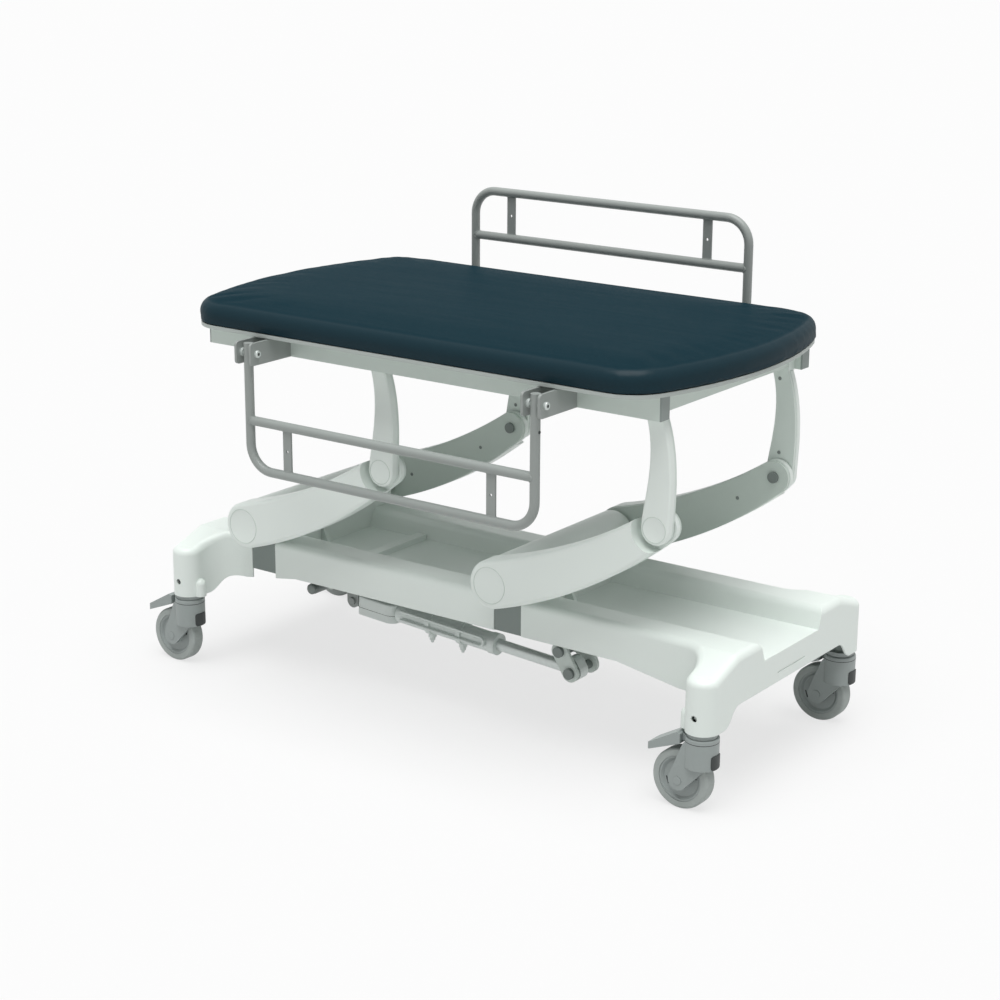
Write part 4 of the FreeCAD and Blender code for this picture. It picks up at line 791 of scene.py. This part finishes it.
@dataclass
class PaddedTop:
    """The padded top: foam under vinyl, with round corners, bowed ends and a soft upper edge."""

    wardrobe: Wardrobe
    places: Places
    bow: float = 81 * MM
    corner: float = 107 * MM
    upper_edge: float = 25 * MM
    lower_edge: float = 9 * MM
    shrink: float = 3.5 * MM
    crown: float = 3.0 * MM
    cap: float = 5.0 * MM
    voxel: float = 9 * MM
    columns: int = 480
    plan_steps: int = 60
    lower_rows: int = 6
    upper_rows: int = 10
    inner_rows: int = 27
    frames: int = 20
    pressure: float = 4.0
    quality: int = 5
    calm: int = 4

    def outline(self, length: float, width: float) -> tuple[np.ndarray, np.ndarray]:
        """The plan of the top, evenly spaced, with its outward directions.

        A quarter is a straight side, then the corner's arc, then half of the end's shallow arc. The
        end's arc has the radius at which it falls back by the bow over half the width. The other
        quarters are its mirror images.

        Args:
            length: Half the top's length.
            width: Half its width.

        Returns:
            Points and outward unit vectors, as rows of x and y.
        """
        radius = (width**2 + self.bow**2) / (2 * self.bow)
        side_y = width - self.corner
        reach = math.sqrt((radius - self.corner) ** 2 - side_y**2)
        middle_x = length - radius
        turn = math.atan2(side_y, reach)
        steps = self.plan_steps
        side = np.stack([np.linspace(0.0, middle_x + reach, steps), np.full(steps, width)], axis=1)
        corner = self.corner * circle(np.linspace(math.pi / 2, turn, steps))
        arc = np.array([middle_x + reach, side_y]) + corner
        end = np.array([middle_x, 0.0]) + radius * circle(np.linspace(turn, 0.0, steps))
        quarter = np.concatenate([side, arc[1:], end[1:]])
        half = np.concatenate([quarter, (quarter * [1, -1])[::-1][1:]])
        whole = np.concatenate([half, (half * [-1, 1])[::-1][1:-1]])
        closed = np.concatenate([whole, whole[:1]])
        distance = np.concatenate([[0.0], np.cumsum(np.linalg.norm(np.diff(closed, axis=0), axis=1))])
        even = np.linspace(0.0, distance[-1], self.columns, endpoint=False)
        points = np.stack([np.interp(even, distance, closed[:, k]) for k in range(2)], axis=1)
        run = np.roll(points, -1, axis=0) - np.roll(points, 1, axis=0)
        outward = np.stack([-run[:, 1], run[:, 0]], axis=1)
        outward /= np.linalg.norm(outward, axis=1, keepdims=True)
        outward *= np.sign((outward * points).sum(axis=1, keepdims=True))
        return points, outward

    def shell(self, shrink: float) -> np.ndarray:
        """The closed surface of the pad, as a grid of rows from below to above.

        A row is the outline moved inwards by the profile's inset, at the profile's height. Inside
        the rounded edge the rows shrink towards the middle. There the top stands the whole crown
        higher, and it falls from that with the square of how far out a row is.

        Args:
            shrink: How much smaller than the node it is, all round.

        Returns:
            Rows, columns and coordinates.
        """
        low, high = self.places.corners("mattress")
        middle = (low + high) / 2
        length, width = (high - low)[:2] / 2 - shrink
        bottom, top = low[2], high[2] - shrink
        points, outward = self.outline(length, width)
        lower = np.linspace(-math.pi / 2, 0.0, self.lower_rows)
        upper = np.linspace(0.0, math.pi / 2, self.upper_rows)
        inset = np.concatenate([self.lower_edge * (1 - np.cos(lower)), self.upper_edge * (1 - np.cos(upper))])
        height = np.concatenate([bottom + self.lower_edge * (1 + np.sin(lower)),
                                 top - self.upper_edge * (1 - np.sin(upper))])
        rim = points[None] - inset[:, None, None] * outward[None]
        edge = np.concatenate([rim, np.broadcast_to(height[:, None, None], (*rim.shape[:2], 1))], axis=2)
        share = np.linspace(1.0, 0.0, self.inner_rows + 1)[1:, None, None]
        level = np.ones((self.inner_rows, self.columns, 1))
        under = np.concatenate([rim[0] * share[::-1], bottom * level], axis=2)
        lift = self.crown * (1 - share**2) * level
        over = np.concatenate([rim[-1] * share, top + lift], axis=2)
        surface = np.concatenate([under, edge, over])
        surface[..., :2] += middle[:2]
        return surface

    def inflate(self, pad: bpy.types.Object) -> None:
        """Lets the cover swell under pressure and keeps the result, within the cap.

        Args:
            pad: The remeshed pad. Its mesh is replaced.
        """
        mesh = pad.data
        rest = np.empty(len(mesh.vertices) * 3)
        mesh.vertices.foreach_get("co", rest)
        rest = rest.reshape(-1, 3)
        pinned = pad.vertex_groups.new(name="seated")
        pinned.add(np.nonzero(rest[:, 2] < rest[:, 2].min() + self.lower_edge / 2)[0].tolist(), 1.0, "REPLACE")
        cloth = pad.modifiers.new("swell", "CLOTH")
        cloth.settings.use_pressure = True
        cloth.settings.uniform_pressure_force = self.pressure
        cloth.settings.effector_weights.gravity = 0.0
        cloth.settings.vertex_group_mass = pinned.name
        cloth.settings.quality = self.quality
        for frame in range(1, self.frames + 1):
            bpy.context.scene.frame_set(frame)
        graph = bpy.context.evaluated_depsgraph_get()
        swollen = np.empty(len(rest) * 3)
        pad.evaluated_get(graph).data.vertices.foreach_get("co", swollen)
        move = swollen.reshape(-1, 3) - rest
        reach = np.linalg.norm(move, axis=1, keepdims=True)
        move *= np.minimum(1.0, self.cap / np.maximum(reach, 1e-9))
        pad.modifiers.remove(cloth)
        pad.vertex_groups.remove(pinned)
        mesh.vertices.foreach_set("co", (rest + move).ravel())
        mesh.update()
        bpy.context.scene.frame_set(1)

    def build(self) -> bpy.types.Object:
        """Makes the pad, swells it and puts it in the place of the plain node.

        Returns:
            The padded piece.
        """
        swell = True
        mould = Mould().grid(self.shell(self.shrink if swell else 0.0))
        pad = mould.piece("padded_top", "top_frame", Slot.VINYL, self.wardrobe)
        remesh = pad.modifiers.new("even", "REMESH")
        remesh.mode = "VOXEL"
        remesh.voxel_size = self.voxel
        smooth = pad.modifiers.new("calm", "SMOOTH")
        smooth.iterations = self.calm
        graph = bpy.context.evaluated_depsgraph_get()
        even = bpy.data.meshes.new_from_object(pad.evaluated_get(graph))
        pad.modifiers.clear()
        pad.data = even
        if swell:
            self.inflate(pad)
        self.wardrobe.wear(pad, Slot.VINYL)
        pad.data.shade_smooth()
        finer = pad.modifiers.new("finer", "SUBSURF")
        finer.levels = finer.render_levels = 1
        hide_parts("mattress")
        LOG.info("padded top: %d faces before its subdivision", len(pad.data.polygons))
        return pad


@dataclass
class CastorTrim:
    """The small parts of the castors: a dark insert, a shadow line under the cap and dark marks on the wheels
    that paint the fork's shadow.
    """

    wardrobe: Wardrobe
    places: Places
    hood_radius: float = 34 * MM
    insert_low: float = 96 * MM
    insert_high: float = 126 * MM
    insert_spread: float = 27.5
    insert_rise: float = 1.8 * MM
    cap_line: float = 149 * MM
    cap_line_width: float = 1.4 * MM
    cap_line_rise: float = 0.25 * MM
    insert_square: float = 0.35
    insert_brim: float = 0.96
    insert_step: float = 0.8
    insert_steps: int = 40
    insert_rows: int = 9
    # Painted shadow of the fork on each wheel: the dark marks' radius, half length, wire and turn.
    fork_shadow_radius: float = 33 * MM
    fork_shadow_half: float = 7 * MM
    fork_shadow_wire: float = 1.4 * MM
    fork_shadow_turn: float = 0.35
    web_face: float = 9.5 * MM

    def insert(self, centre: np.ndarray) -> np.ndarray:
        """The dark insert on the hood's front, which bends round the hood.

        Rows go round a rounded rectangle from its rim to its middle, columns along it. The angle on
        the hood follows the rectangle's width, and the radius is the hood's plus the rise.

        Args:
            centre: A point on the castor's upright axis.

        Returns:
            A closed grid.
        """
        square = circle(np.linspace(0.0, FULL_TURN, self.insert_steps, endpoint=False))
        square = np.sign(square) * np.abs(square) ** self.insert_square
        rows = self.insert_rows
        inner = np.linspace(self.insert_brim, 0.0, rows)
        share = np.concatenate([inner[::-1], [1.0, 1.0], inner])[:, None]
        rise = np.concatenate([np.full(rows + 1, -1.0), [self.insert_step], np.ones(rows)])
        rise = rise[:, None] * self.insert_rise
        angle = math.radians(self.insert_spread) * share * square[:, 0]
        middle, half = (self.insert_low + self.insert_high) / 2, (self.insert_high - self.insert_low) / 2
        radius = self.hood_radius + rise + 0 * angle
        return np.stack([centre[0] + radius * np.cos(angle), centre[1] + radius * np.sin(angle),
                         middle + half * share * square[:, 1]], axis=-1)

    def fork_shadows(self, centre: np.ndarray) -> Mould:
        """Two short dark marks in each face of a wheel: painted shadow where the fork meets the wheel.

        A mark is a straight round wire at the mark radius from the hub, square to its spoke and half
        sunk in the face. The two spokes of a face point opposite ways.

        Args:
            centre: The wheel's middle, on its axle.

        Returns:
            The mould with the four wires.
        """
        mould = Mould()
        along = np.linspace(-self.fork_shadow_half, self.fork_shadow_half, 8)
        for side in Side:
            face = centre + side.sign * self.web_face * AWAY
            for angle in (self.fork_shadow_turn, self.fork_shadow_turn + math.pi):
                spoke = np.array([math.cos(angle), 0.0, math.sin(angle)])
                cross = np.array([-math.sin(angle), 0.0, math.cos(angle)])
                path = face + self.fork_shadow_radius * spoke + along[:, None] * cross
                mould.wire(path, AWAY, self.fork_shadow_wire, steps=THIN_STEPS)
        return mould

    def build(self) -> None:
        """Makes the trim of the four castors."""
        for side in Side:
            for end in End:
                corner = f"{side.value}_{end.value}"
                stem = self.places.pivot(f"castor_{corner}_swivel")
                hub = self.places.pivot(f"wheel_{corner}_roll")
                insert = Mould().grid(self.insert(stem))
                insert.piece(f"castor_insert_{corner}", f"castor_{corner}", Slot.DARK_PLASTIC, self.wardrobe)
                line = band(self.hood_radius, self.cap_line_width, self.cap_line_rise)
                ring = Mould().turned(line, stem * (ALONG + AWAY) + self.cap_line * UP, UP, ROUND_STEPS)
                ring.piece(f"castor_cap_line_{corner}", f"castor_{corner}", Slot.DARK_PLASTIC, self.wardrobe)
                # Painted shadow: dark marks on the wheel's faces where the fork shades them.
                fork_shadows = self.fork_shadows(hub)
                fork_shadows.piece(f"wheel_slits_{corner}", f"wheel_{corner}", Slot.DARK_PLASTIC, self.wardrobe)


@dataclass
class ArmTrim:
    """Screw heads on the inner faces of arms and legs, and darker rings round the dishes on their outer faces,
    painted shade of the dishes' edges.
    """

    wardrobe: Wardrobe
    places: Places
    arm_length: float = 430 * MM
    arm_angle: float = math.radians(26.0)
    arm_face: float = 212 * MM
    leg_face: float = 234 * MM
    reach: tuple[float, float] = (101 * MM, 327 * MM)
    drop: float = 17 * MM
    leg_spots: tuple[tuple[float, float], ...] = ((-7 * MM, 208 * MM), (-2 * MM, 49 * MM))
    radius: float = 4 * MM
    rise: float = 1.2 * MM
    seat: float = 0.3 * MM
    arm_dish: tuple[float, float] = (39 * MM, 270 * MM)
    leg_dish: tuple[float, float] = (26 * MM, 258 * MM)
    # Painted shade: the wire radius of the darker ring that stands for the shading round each dish's edge.
    rim: float = 0.8 * MM

    def ring(self, mould: Mould, middle: np.ndarray, side: Side, dish: tuple[float, float]) -> None:
        """Adds a darker ring round a dish in an outer face, as a round wire on a circle: painted shade of the
        dish's edge.

        Args:
            mould: What the rim is added to.
            middle: The dish's middle, as x and z.
            side: The side that the face is on.
            dish: The dish's radius, and how far the face is from the table's middle plane.
        """
        radius, face = dish
        round_line = middle + radius * circle(np.linspace(0.0, FULL_TURN, 72, endpoint=False))
        path = np.insert(round_line, 1, side.sign * face, axis=1)
        mould.wire(path, AWAY, self.rim, closed=True, steps=THIN_STEPS)

    def head(self, mould: Mould, x: float, z: float, side: Side, face: float) -> None:
        """Adds a low screw head on a face that looks inwards."""
        centre = np.array([x, side.sign * face, z])
        mould.turned(dome(self.radius, self.rise, self.seat), centre, -side.sign * AWAY, HEAD_STEPS)

    def build(self) -> None:
        """Makes the heads and the painted shade rings round the dishes of both arm pairs and of the four legs.
        """
        slope = np.array([math.cos(self.arm_angle), math.sin(self.arm_angle)])
        across = np.array([-slope[1], slope[0]])
        legs, leg_dish_shades = Mould(), Mould()
        for end in End:
            pivot = self.places.pivot(f"arm_{end.value}")[[0, 2]]
            knee = pivot + self.arm_length * slope
            arms, arm_dish_shades = Mould(), Mould()
            for side in Side:
                self.ring(arm_dish_shades, pivot, side, self.arm_dish)
                self.ring(leg_dish_shades, knee, side, self.leg_dish)
                for reach in self.reach:
                    spot = pivot + reach * slope - self.drop * across
                    self.head(arms, spot[0], spot[1], side, self.arm_face)
                for x, z in self.leg_spots:
                    self.head(legs, knee[0] + x, knee[1] + z, side, self.leg_face)
            arms.piece(f"arm_screws_{end.value}", f"arm_{end.value}", Slot.DARK_STEEL, self.wardrobe)
            # Painted shade: darker rings round the dishes of the arms and legs.
            arm_dish_shades.piece(f"arm_dish_shades_{end.value}", f"arm_{end.value}", Slot.GREY_STEEL, self.wardrobe)
        legs.piece("leg_screws", "top_frame", Slot.DARK_STEEL, self.wardrobe)
        leg_dish_shades.piece("leg_dish_shades", "top_frame", Slot.GREY_STEEL, self.wardrobe)


@dataclass
class RailTrim:
    """Weld beads of the side rails, the sockets of their bolts and a small button.

    The button's sizes are its radius, rise and seat.
    """

    wardrobe: Wardrobe
    places: Places
    half_length: float = 367.5 * MM
    tube: float = 10 * MM
    mid_height: float = 145 * MM
    bead: float = 1.6 * MM
    head_face: float = 29 * MM
    strap_offset: float = 264 * MM
    strap_half: float = 11 * MM
    strap_thickness: float = 4 * MM
    bar_height: float = 251 * MM
    strap_bead: float = 1.1 * MM
    socket: float = 3.6 * MM
    socket_rise: float = 0.15 * MM
    button: tuple[float, float, float] = (3.4 * MM, 1.6 * MM, 0.8 * MM)
    button_sunk: float = 0.6 * MM
    button_drop: float = 54 * MM
    least_square: float = 0.02

    def saddle(self, x: float, y: float, z: float, way: int) -> np.ndarray:
        """Where a level bar meets an upright leg of the same radius.

        At an angle round the bar, the point stands off the bar's line by the radius, and off the
        leg's line by the radius times the size of the sine, whose square is kept above a least value.

        Args:
            x: The leg's centre line.
            y: The rail's plane.
            z: The bar's centre line.
            way: The side of the leg that the bar is on.

        Returns:
            A closed line of points.
        """
        angle = np.linspace(0.0, FULL_TURN, 48, endpoint=False)
        off = self.tube * np.sqrt(np.maximum(np.sin(angle) ** 2, self.least_square))
        return np.stack([x + way * off, y + self.tube * np.cos(angle), z + self.tube * np.sin(angle)], axis=1)

    def build(self) -> None:
        """Makes the beads and sockets of both rails, and the near rail's button."""
        for side in Side:
            pivot = self.places.pivot(f"rail_{side.value}_fold")
            beads, sockets = Mould(), Mould()
            middle = pivot[2] + side.sign * self.mid_height
            outer = pivot[2] + side.sign * self.bar_height
            for way in (-1, 1):
                leg = pivot[0] + way * self.half_length
                path = self.saddle(leg, pivot[1], middle, -way)
                outward = path - np.array([leg, pivot[1], middle])
                beads.wire(path, outward, self.bead, closed=True, steps=THIN_STEPS)
                strap = pivot[0] + way * self.strap_offset
                for height, toward in ((middle, side.sign), (outer, -side.sign)):
                    for face in (-1, 1):
                        run = np.linspace(-self.strap_half, self.strap_half, 10)
                        z = height + toward * math.sqrt(self.tube**2 - (self.strap_thickness / 2) ** 2)
                        line = np.stack([strap + run, np.full(10, pivot[1] + face * self.strap_thickness / 2),
                                         np.full(10, z)], axis=1)
                        beads.wire(line, UP, self.strap_bead, steps=THIN_STEPS)
                spot = np.array([leg + self.head_face, pivot[1], pivot[2]])
                sockets.turned(hexagon(self.socket, self.socket_rise), spot, ALONG, 6)
            beads.piece(f"rail_welds_{side.value}", f"rail_{side.value}", Slot.RAIL_PAINT, self.wardrobe)
            sockets.piece(f"bolt_sockets_{side.value}", "top_frame", Slot.DARK_PLASTIC, self.wardrobe,
                          smooth=False)
        near = self.places.pivot("rail_near_fold")
        out = self.half_length + self.tube - self.button_sunk
        spot = near + out * ALONG - self.button_drop * UP
        button = Mould().turned(dome(*self.button), spot, ALONG, HEAD_STEPS)
        button.piece("rail_button_near", "rail_near", Slot.DARK_PLASTIC, self.wardrobe)


@dataclass
class DriveTrim:
    """The bail along the actuator's tube, the motor's seam and screws, and the tie rod's end cap.

    The sizes of a screw and of the cap are its radius, rise and seat. The drive pin is measured from
    the right arms' pivot, as x and z, and the tie pin from the left arms' pivot.
    """

    wardrobe: Wardrobe
    places: Places
    drive_pin: tuple[float, float] = (110 * MM, -210 * MM)
    tube: float = 22 * MM
    bail_radius: float = 3.2 * MM
    bail_start: float = 145 * MM
    bail_end: float = 372 * MM
    bail_low: float = -4 * MM
    bail_high: float = 16 * MM
    bail_bend: float = 9 * MM
    clamp_wall: float = 4 * MM
    motor_start: float = 20 * MM
    motor_length: float = 104 * MM
    motor_half: float = 27 * MM
    motor_drop: float = 25 * MM
    motor_nose: float = 24 * MM
    motor_heel: float = 8 * MM
    seam_height: float = -6 * MM
    seam_wire: float = 0.5 * MM
    screw_along: tuple[float, float] = (32 * MM, 108 * MM)
    screw_across: tuple[float, float] = (-14 * MM, 14 * MM)
    screw: tuple[float, float, float] = (3.5 * MM, 1.3 * MM, 0.5 * MM)
    tie_pin: tuple[float, float, float] = (83 * MM, -132 * MM, -167 * MM)
    cap: tuple[float, float, float] = (12.2 * MM, 4 * MM, 7 * MM)

    def aimed(self, points: np.ndarray) -> np.ndarray:
        """Turns points from the actuator's own axes to the table's.

        Args:
            points: Rows of how far along, across and above the rear pivot they are.

        Returns:
            Points in the table's frame.
        """
        rear = self.places.pivot("actuator_swing")
        pin = self.places.pivot("arm_right")[[0, 2]] + np.array(self.drive_pin)
        run = (pin - rear[[0, 2]]) / np.linalg.norm(pin - rear[[0, 2]])
        along = np.array([run[0], 0.0, run[1]])
        above = np.array([-run[1], 0.0, run[0]])
        return rear + points[:, :1] * along + points[:, 1:2] * AWAY + points[:, 2:] * above

    def bail(self) -> np.ndarray:
        """The bent rod's line: out along the tube's near side, round the end and back above.

        The end is two quarter circles with a straight run between them, in an upright plane that
        touches the clamps.

        Returns:
            Points in the table's frame.
        """
        turn = np.linspace(-math.pi / 2, 0.0, 10)
        middle, half = (self.bail_low + self.bail_high) / 2, (self.bail_high - self.bail_low) / 2
        last = self.bail_end - self.bail_bend
        straight = np.stack([np.linspace(self.bail_start, last, 24), np.full(24, -half)], axis=1)
        bend = np.array([last, -half + self.bail_bend]) + self.bail_bend * circle(turn)
        leg = np.concatenate([straight, bend[1:]])
        whole = np.concatenate([leg, (leg * [1, -1])[::-1]])
        beside = np.full((len(whole), 1), -(self.tube + self.clamp_wall + 0.5 * self.bail_radius))
        return self.aimed(np.concatenate([whole[:, :1], beside, whole[:, 1:] + middle], axis=1))

    def seam(self) -> np.ndarray:
        """The line round the motor's housing, a rectangle with a round nose and small heels.

        Each quarter of a unit circle is scaled to its corner's radius, and moved out to the point
        that lies that radius inside the rectangle's corner.

        Returns:
            Points in the table's frame.
        """
        spoke = circle(np.linspace(0.0, FULL_TURN, ROUND_STEPS, endpoint=False))
        radius = np.where(spoke[:, :1] > 0, self.motor_nose, self.motor_heel)
        half = np.array([self.motor_length / 2, self.motor_half])
        ring = np.sign(spoke) * (half - radius) + radius * spoke
        ring[:, 0] += self.motor_start + self.motor_length / 2
        return self.aimed(np.insert(ring, 2, self.seam_height, axis=1))

    def build(self) -> None:
        """Makes the bail, the seam, the housing's screws and the end cap."""
        bail = Mould().wire(self.bail(), AWAY, self.bail_radius)
        bail.piece("actuator_bail", "actuator", Slot.ACTUATOR_GREY, self.wardrobe)
        seam = Mould().wire(self.seam(), UP, self.seam_wire, closed=True, steps=6)
        seam.piece("motor_seam", "actuator", Slot.DARK_PLASTIC, self.wardrobe)
        screws = Mould()
        below = -self.motor_drop
        spots = self.aimed(np.array([[x, y, below] for x in self.screw_along for y in self.screw_across]))
        down = np.subtract(*self.aimed(np.array([[0.0, 0.0, 0.0], [0.0, 0.0, 1.0]])))
        for spot in spots:
            screws.turned(dome(*self.screw), spot, down, HEAD_STEPS)
        screws.piece("motor_screws", "actuator", Slot.DARK_STEEL, self.wardrobe)
        tie = self.places.pivot("arm_left") + np.array(self.tie_pin)
        cap = Mould().turned(dome(*self.cap), tie, -AWAY, 32)
        cap.piece("tie_pin_cap", "arm_left", Slot.DARK_STEEL, self.wardrobe)


@dataclass
class Studio:
    """The pale floor, the soft light and the camera."""

    floor_radius: float = 60.0
    floor_colour: Colour = (216, 216, 216)
    floor_rough: float = 0.9
    floor_mottle: float = 0.005
    cloud_scale: float = 0.8
    shade_share: float = 0.72
    ambient: float = 0.33
    backdrop: float = 0.974
    key: float = 3.2
    key_softness: float = 50.0
    key_from: tuple[float, float, float] = (0.08, -0.16, 1.0)
    sensor: float = 36.0
    lens: float = 77.63
    view_end: float = 200.0
    azimuth: float = 36.1
    elevation: float = 16.5
    roll: float = 0.3
    camera_place: tuple[float, float, float] = (2.6869, -3.6476, 1.7794)

    def seen(self, nodes: Nodes) -> Wire:
        """Tells what is seen, directly or by way of a mirror or glass, from what only lights.

        Args:
            nodes: The tree that the nodes are added to.

        Returns:
            1 for rays from the camera and for mirrored or passed rays, else 0.
        """
        path = nodes.tree.nodes.new("ShaderNodeLightPath")
        camera, glossy, passed = (Wire(nodes, path.outputs[name]) for name in
                                  ("Is Camera Ray", "Is Glossy Ray", "Is Transmission Ray"))
        return camera.either(glossy).either(passed)

    def floor(self) -> None:
        """Lays a disc, with most of what is seen of it plain white, so that shadows stay pale.

        Its rings lie further apart the further out they are, by a constant factor.
        """
        rows = np.geomspace(1.0, self.floor_radius, 12) - 1.0
        profile = np.stack([rows, np.zeros(12)], axis=1)
        mould = Mould().turned(profile, np.zeros(3), UP, ROUND_STEPS)
        mesh = bpy.data.meshes.new("floor")
        mesh.from_pydata(mould.points[0].tolist(), [], mould.faces[0].tolist())
        floor = bpy.data.objects.new("floor", mesh)
        bpy.context.scene.collection.objects.link(floor)
        paint = Paint("pale_floor")
        cloud = paint.noise(paint.place(), self.cloud_scale)
        darker = linear(self.floor_colour, 1.0 - self.floor_mottle)
        tone = paint.mix(cloud, darker, linear(self.floor_colour))
        paint.set(Base_Color=tone, Roughness=self.floor_rough, Specular_IOR_Level=0.0)
        glow = paint.add("ShaderNodeEmission", {}, {"Strength": 1.0})
        shaded = Wire(paint, paint.shader.outputs[0])
        share = self.seen(paint) * self.shade_share
        mixed = paint.add("ShaderNodeMixShader", {}, {0: share, 1: shaded, 2: glow})
        paint.feed(paint.tree.nodes["Material Output"].inputs[0], mixed)
        mesh.materials.append(paint.material)

    def world(self) -> None:
        """Lights the scene evenly, and shows behind it what the open floor shows."""
        world = bpy.data.worlds.new("studio")
        bpy.context.scene.world = world
        world.use_nodes = True
        nodes = Nodes(world.node_tree)
        strength = self.seen(nodes) * (self.backdrop - self.ambient) + self.ambient
        nodes.feed(world.node_tree.nodes["Background"].inputs["Color"], (1.0, 1.0, 1.0, 1.0))
        nodes.feed(world.node_tree.nodes["Background"].inputs["Strength"], strength)

    def lamp(self) -> None:
        """Hangs one wide soft light overhead."""
        lamp = bpy.data.lights.new("soft_key", "SUN")
        lamp.energy = self.key
        lamp.angle = math.radians(self.key_softness)
        key = bpy.data.objects.new("soft_key", lamp)
        key.rotation_mode = "QUATERNION"
        key.rotation_quaternion = (-Vector(self.key_from)).to_track_quat("-Z", "Y")
        bpy.context.scene.collection.objects.link(key)

    def camera(self) -> None:
        """Sets the camera at the photograph's place, with its small roll."""
        data = bpy.data.cameras.new("camera")
        data.sensor_width = self.sensor
        data.lens = self.lens
        data.clip_end = self.view_end
        camera = bpy.data.objects.new("camera", data)
        turn, tilt = math.radians(self.azimuth), math.radians(self.elevation)
        back = Vector((math.sin(turn) * math.cos(tilt), -math.cos(turn) * math.cos(tilt), math.sin(tilt)))
        right = Vector((math.cos(turn), math.sin(turn), 0.0))
        up = back.cross(right)
        roll = math.radians(self.roll)
        leaned = right * math.cos(roll) + up * math.sin(roll)
        raised = up * math.cos(roll) - right * math.sin(roll)
        rows = Matrix((leaned, raised, back)).transposed().to_4x4()
        camera.matrix_world = Matrix.Translation(Vector(self.camera_place)) @ rows
        bpy.context.scene.collection.objects.link(camera)
        bpy.context.scene.camera = camera

    def build(self) -> None:
        """Sets up floor, world, lamp, camera and the plain view."""
        self.floor()
        self.world()
        self.lamp()
        self.camera()
        bpy.context.scene.view_settings.view_transform = "Standard"


def main() -> None:
    """Loads the frame, dresses it, adds the new pieces and sets up the studio."""
    logging.basicConfig(level=logging.INFO, format="%(name)s: %(message)s")
    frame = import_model()
    wardrobe, places = Wardrobe(), Places(frame)
    wardrobe.dress(frame)
    for assembly in (PaddedTop(wardrobe, places), CastorTrim(wardrobe, places), ArmTrim(wardrobe, places),
                     RailTrim(wardrobe, places), DriveTrim(wardrobe, places), Studio()):
        assembly.build()
        LOG.info("%s is in place", type(assembly).__name__)


if __name__ == "__main__":
    main()
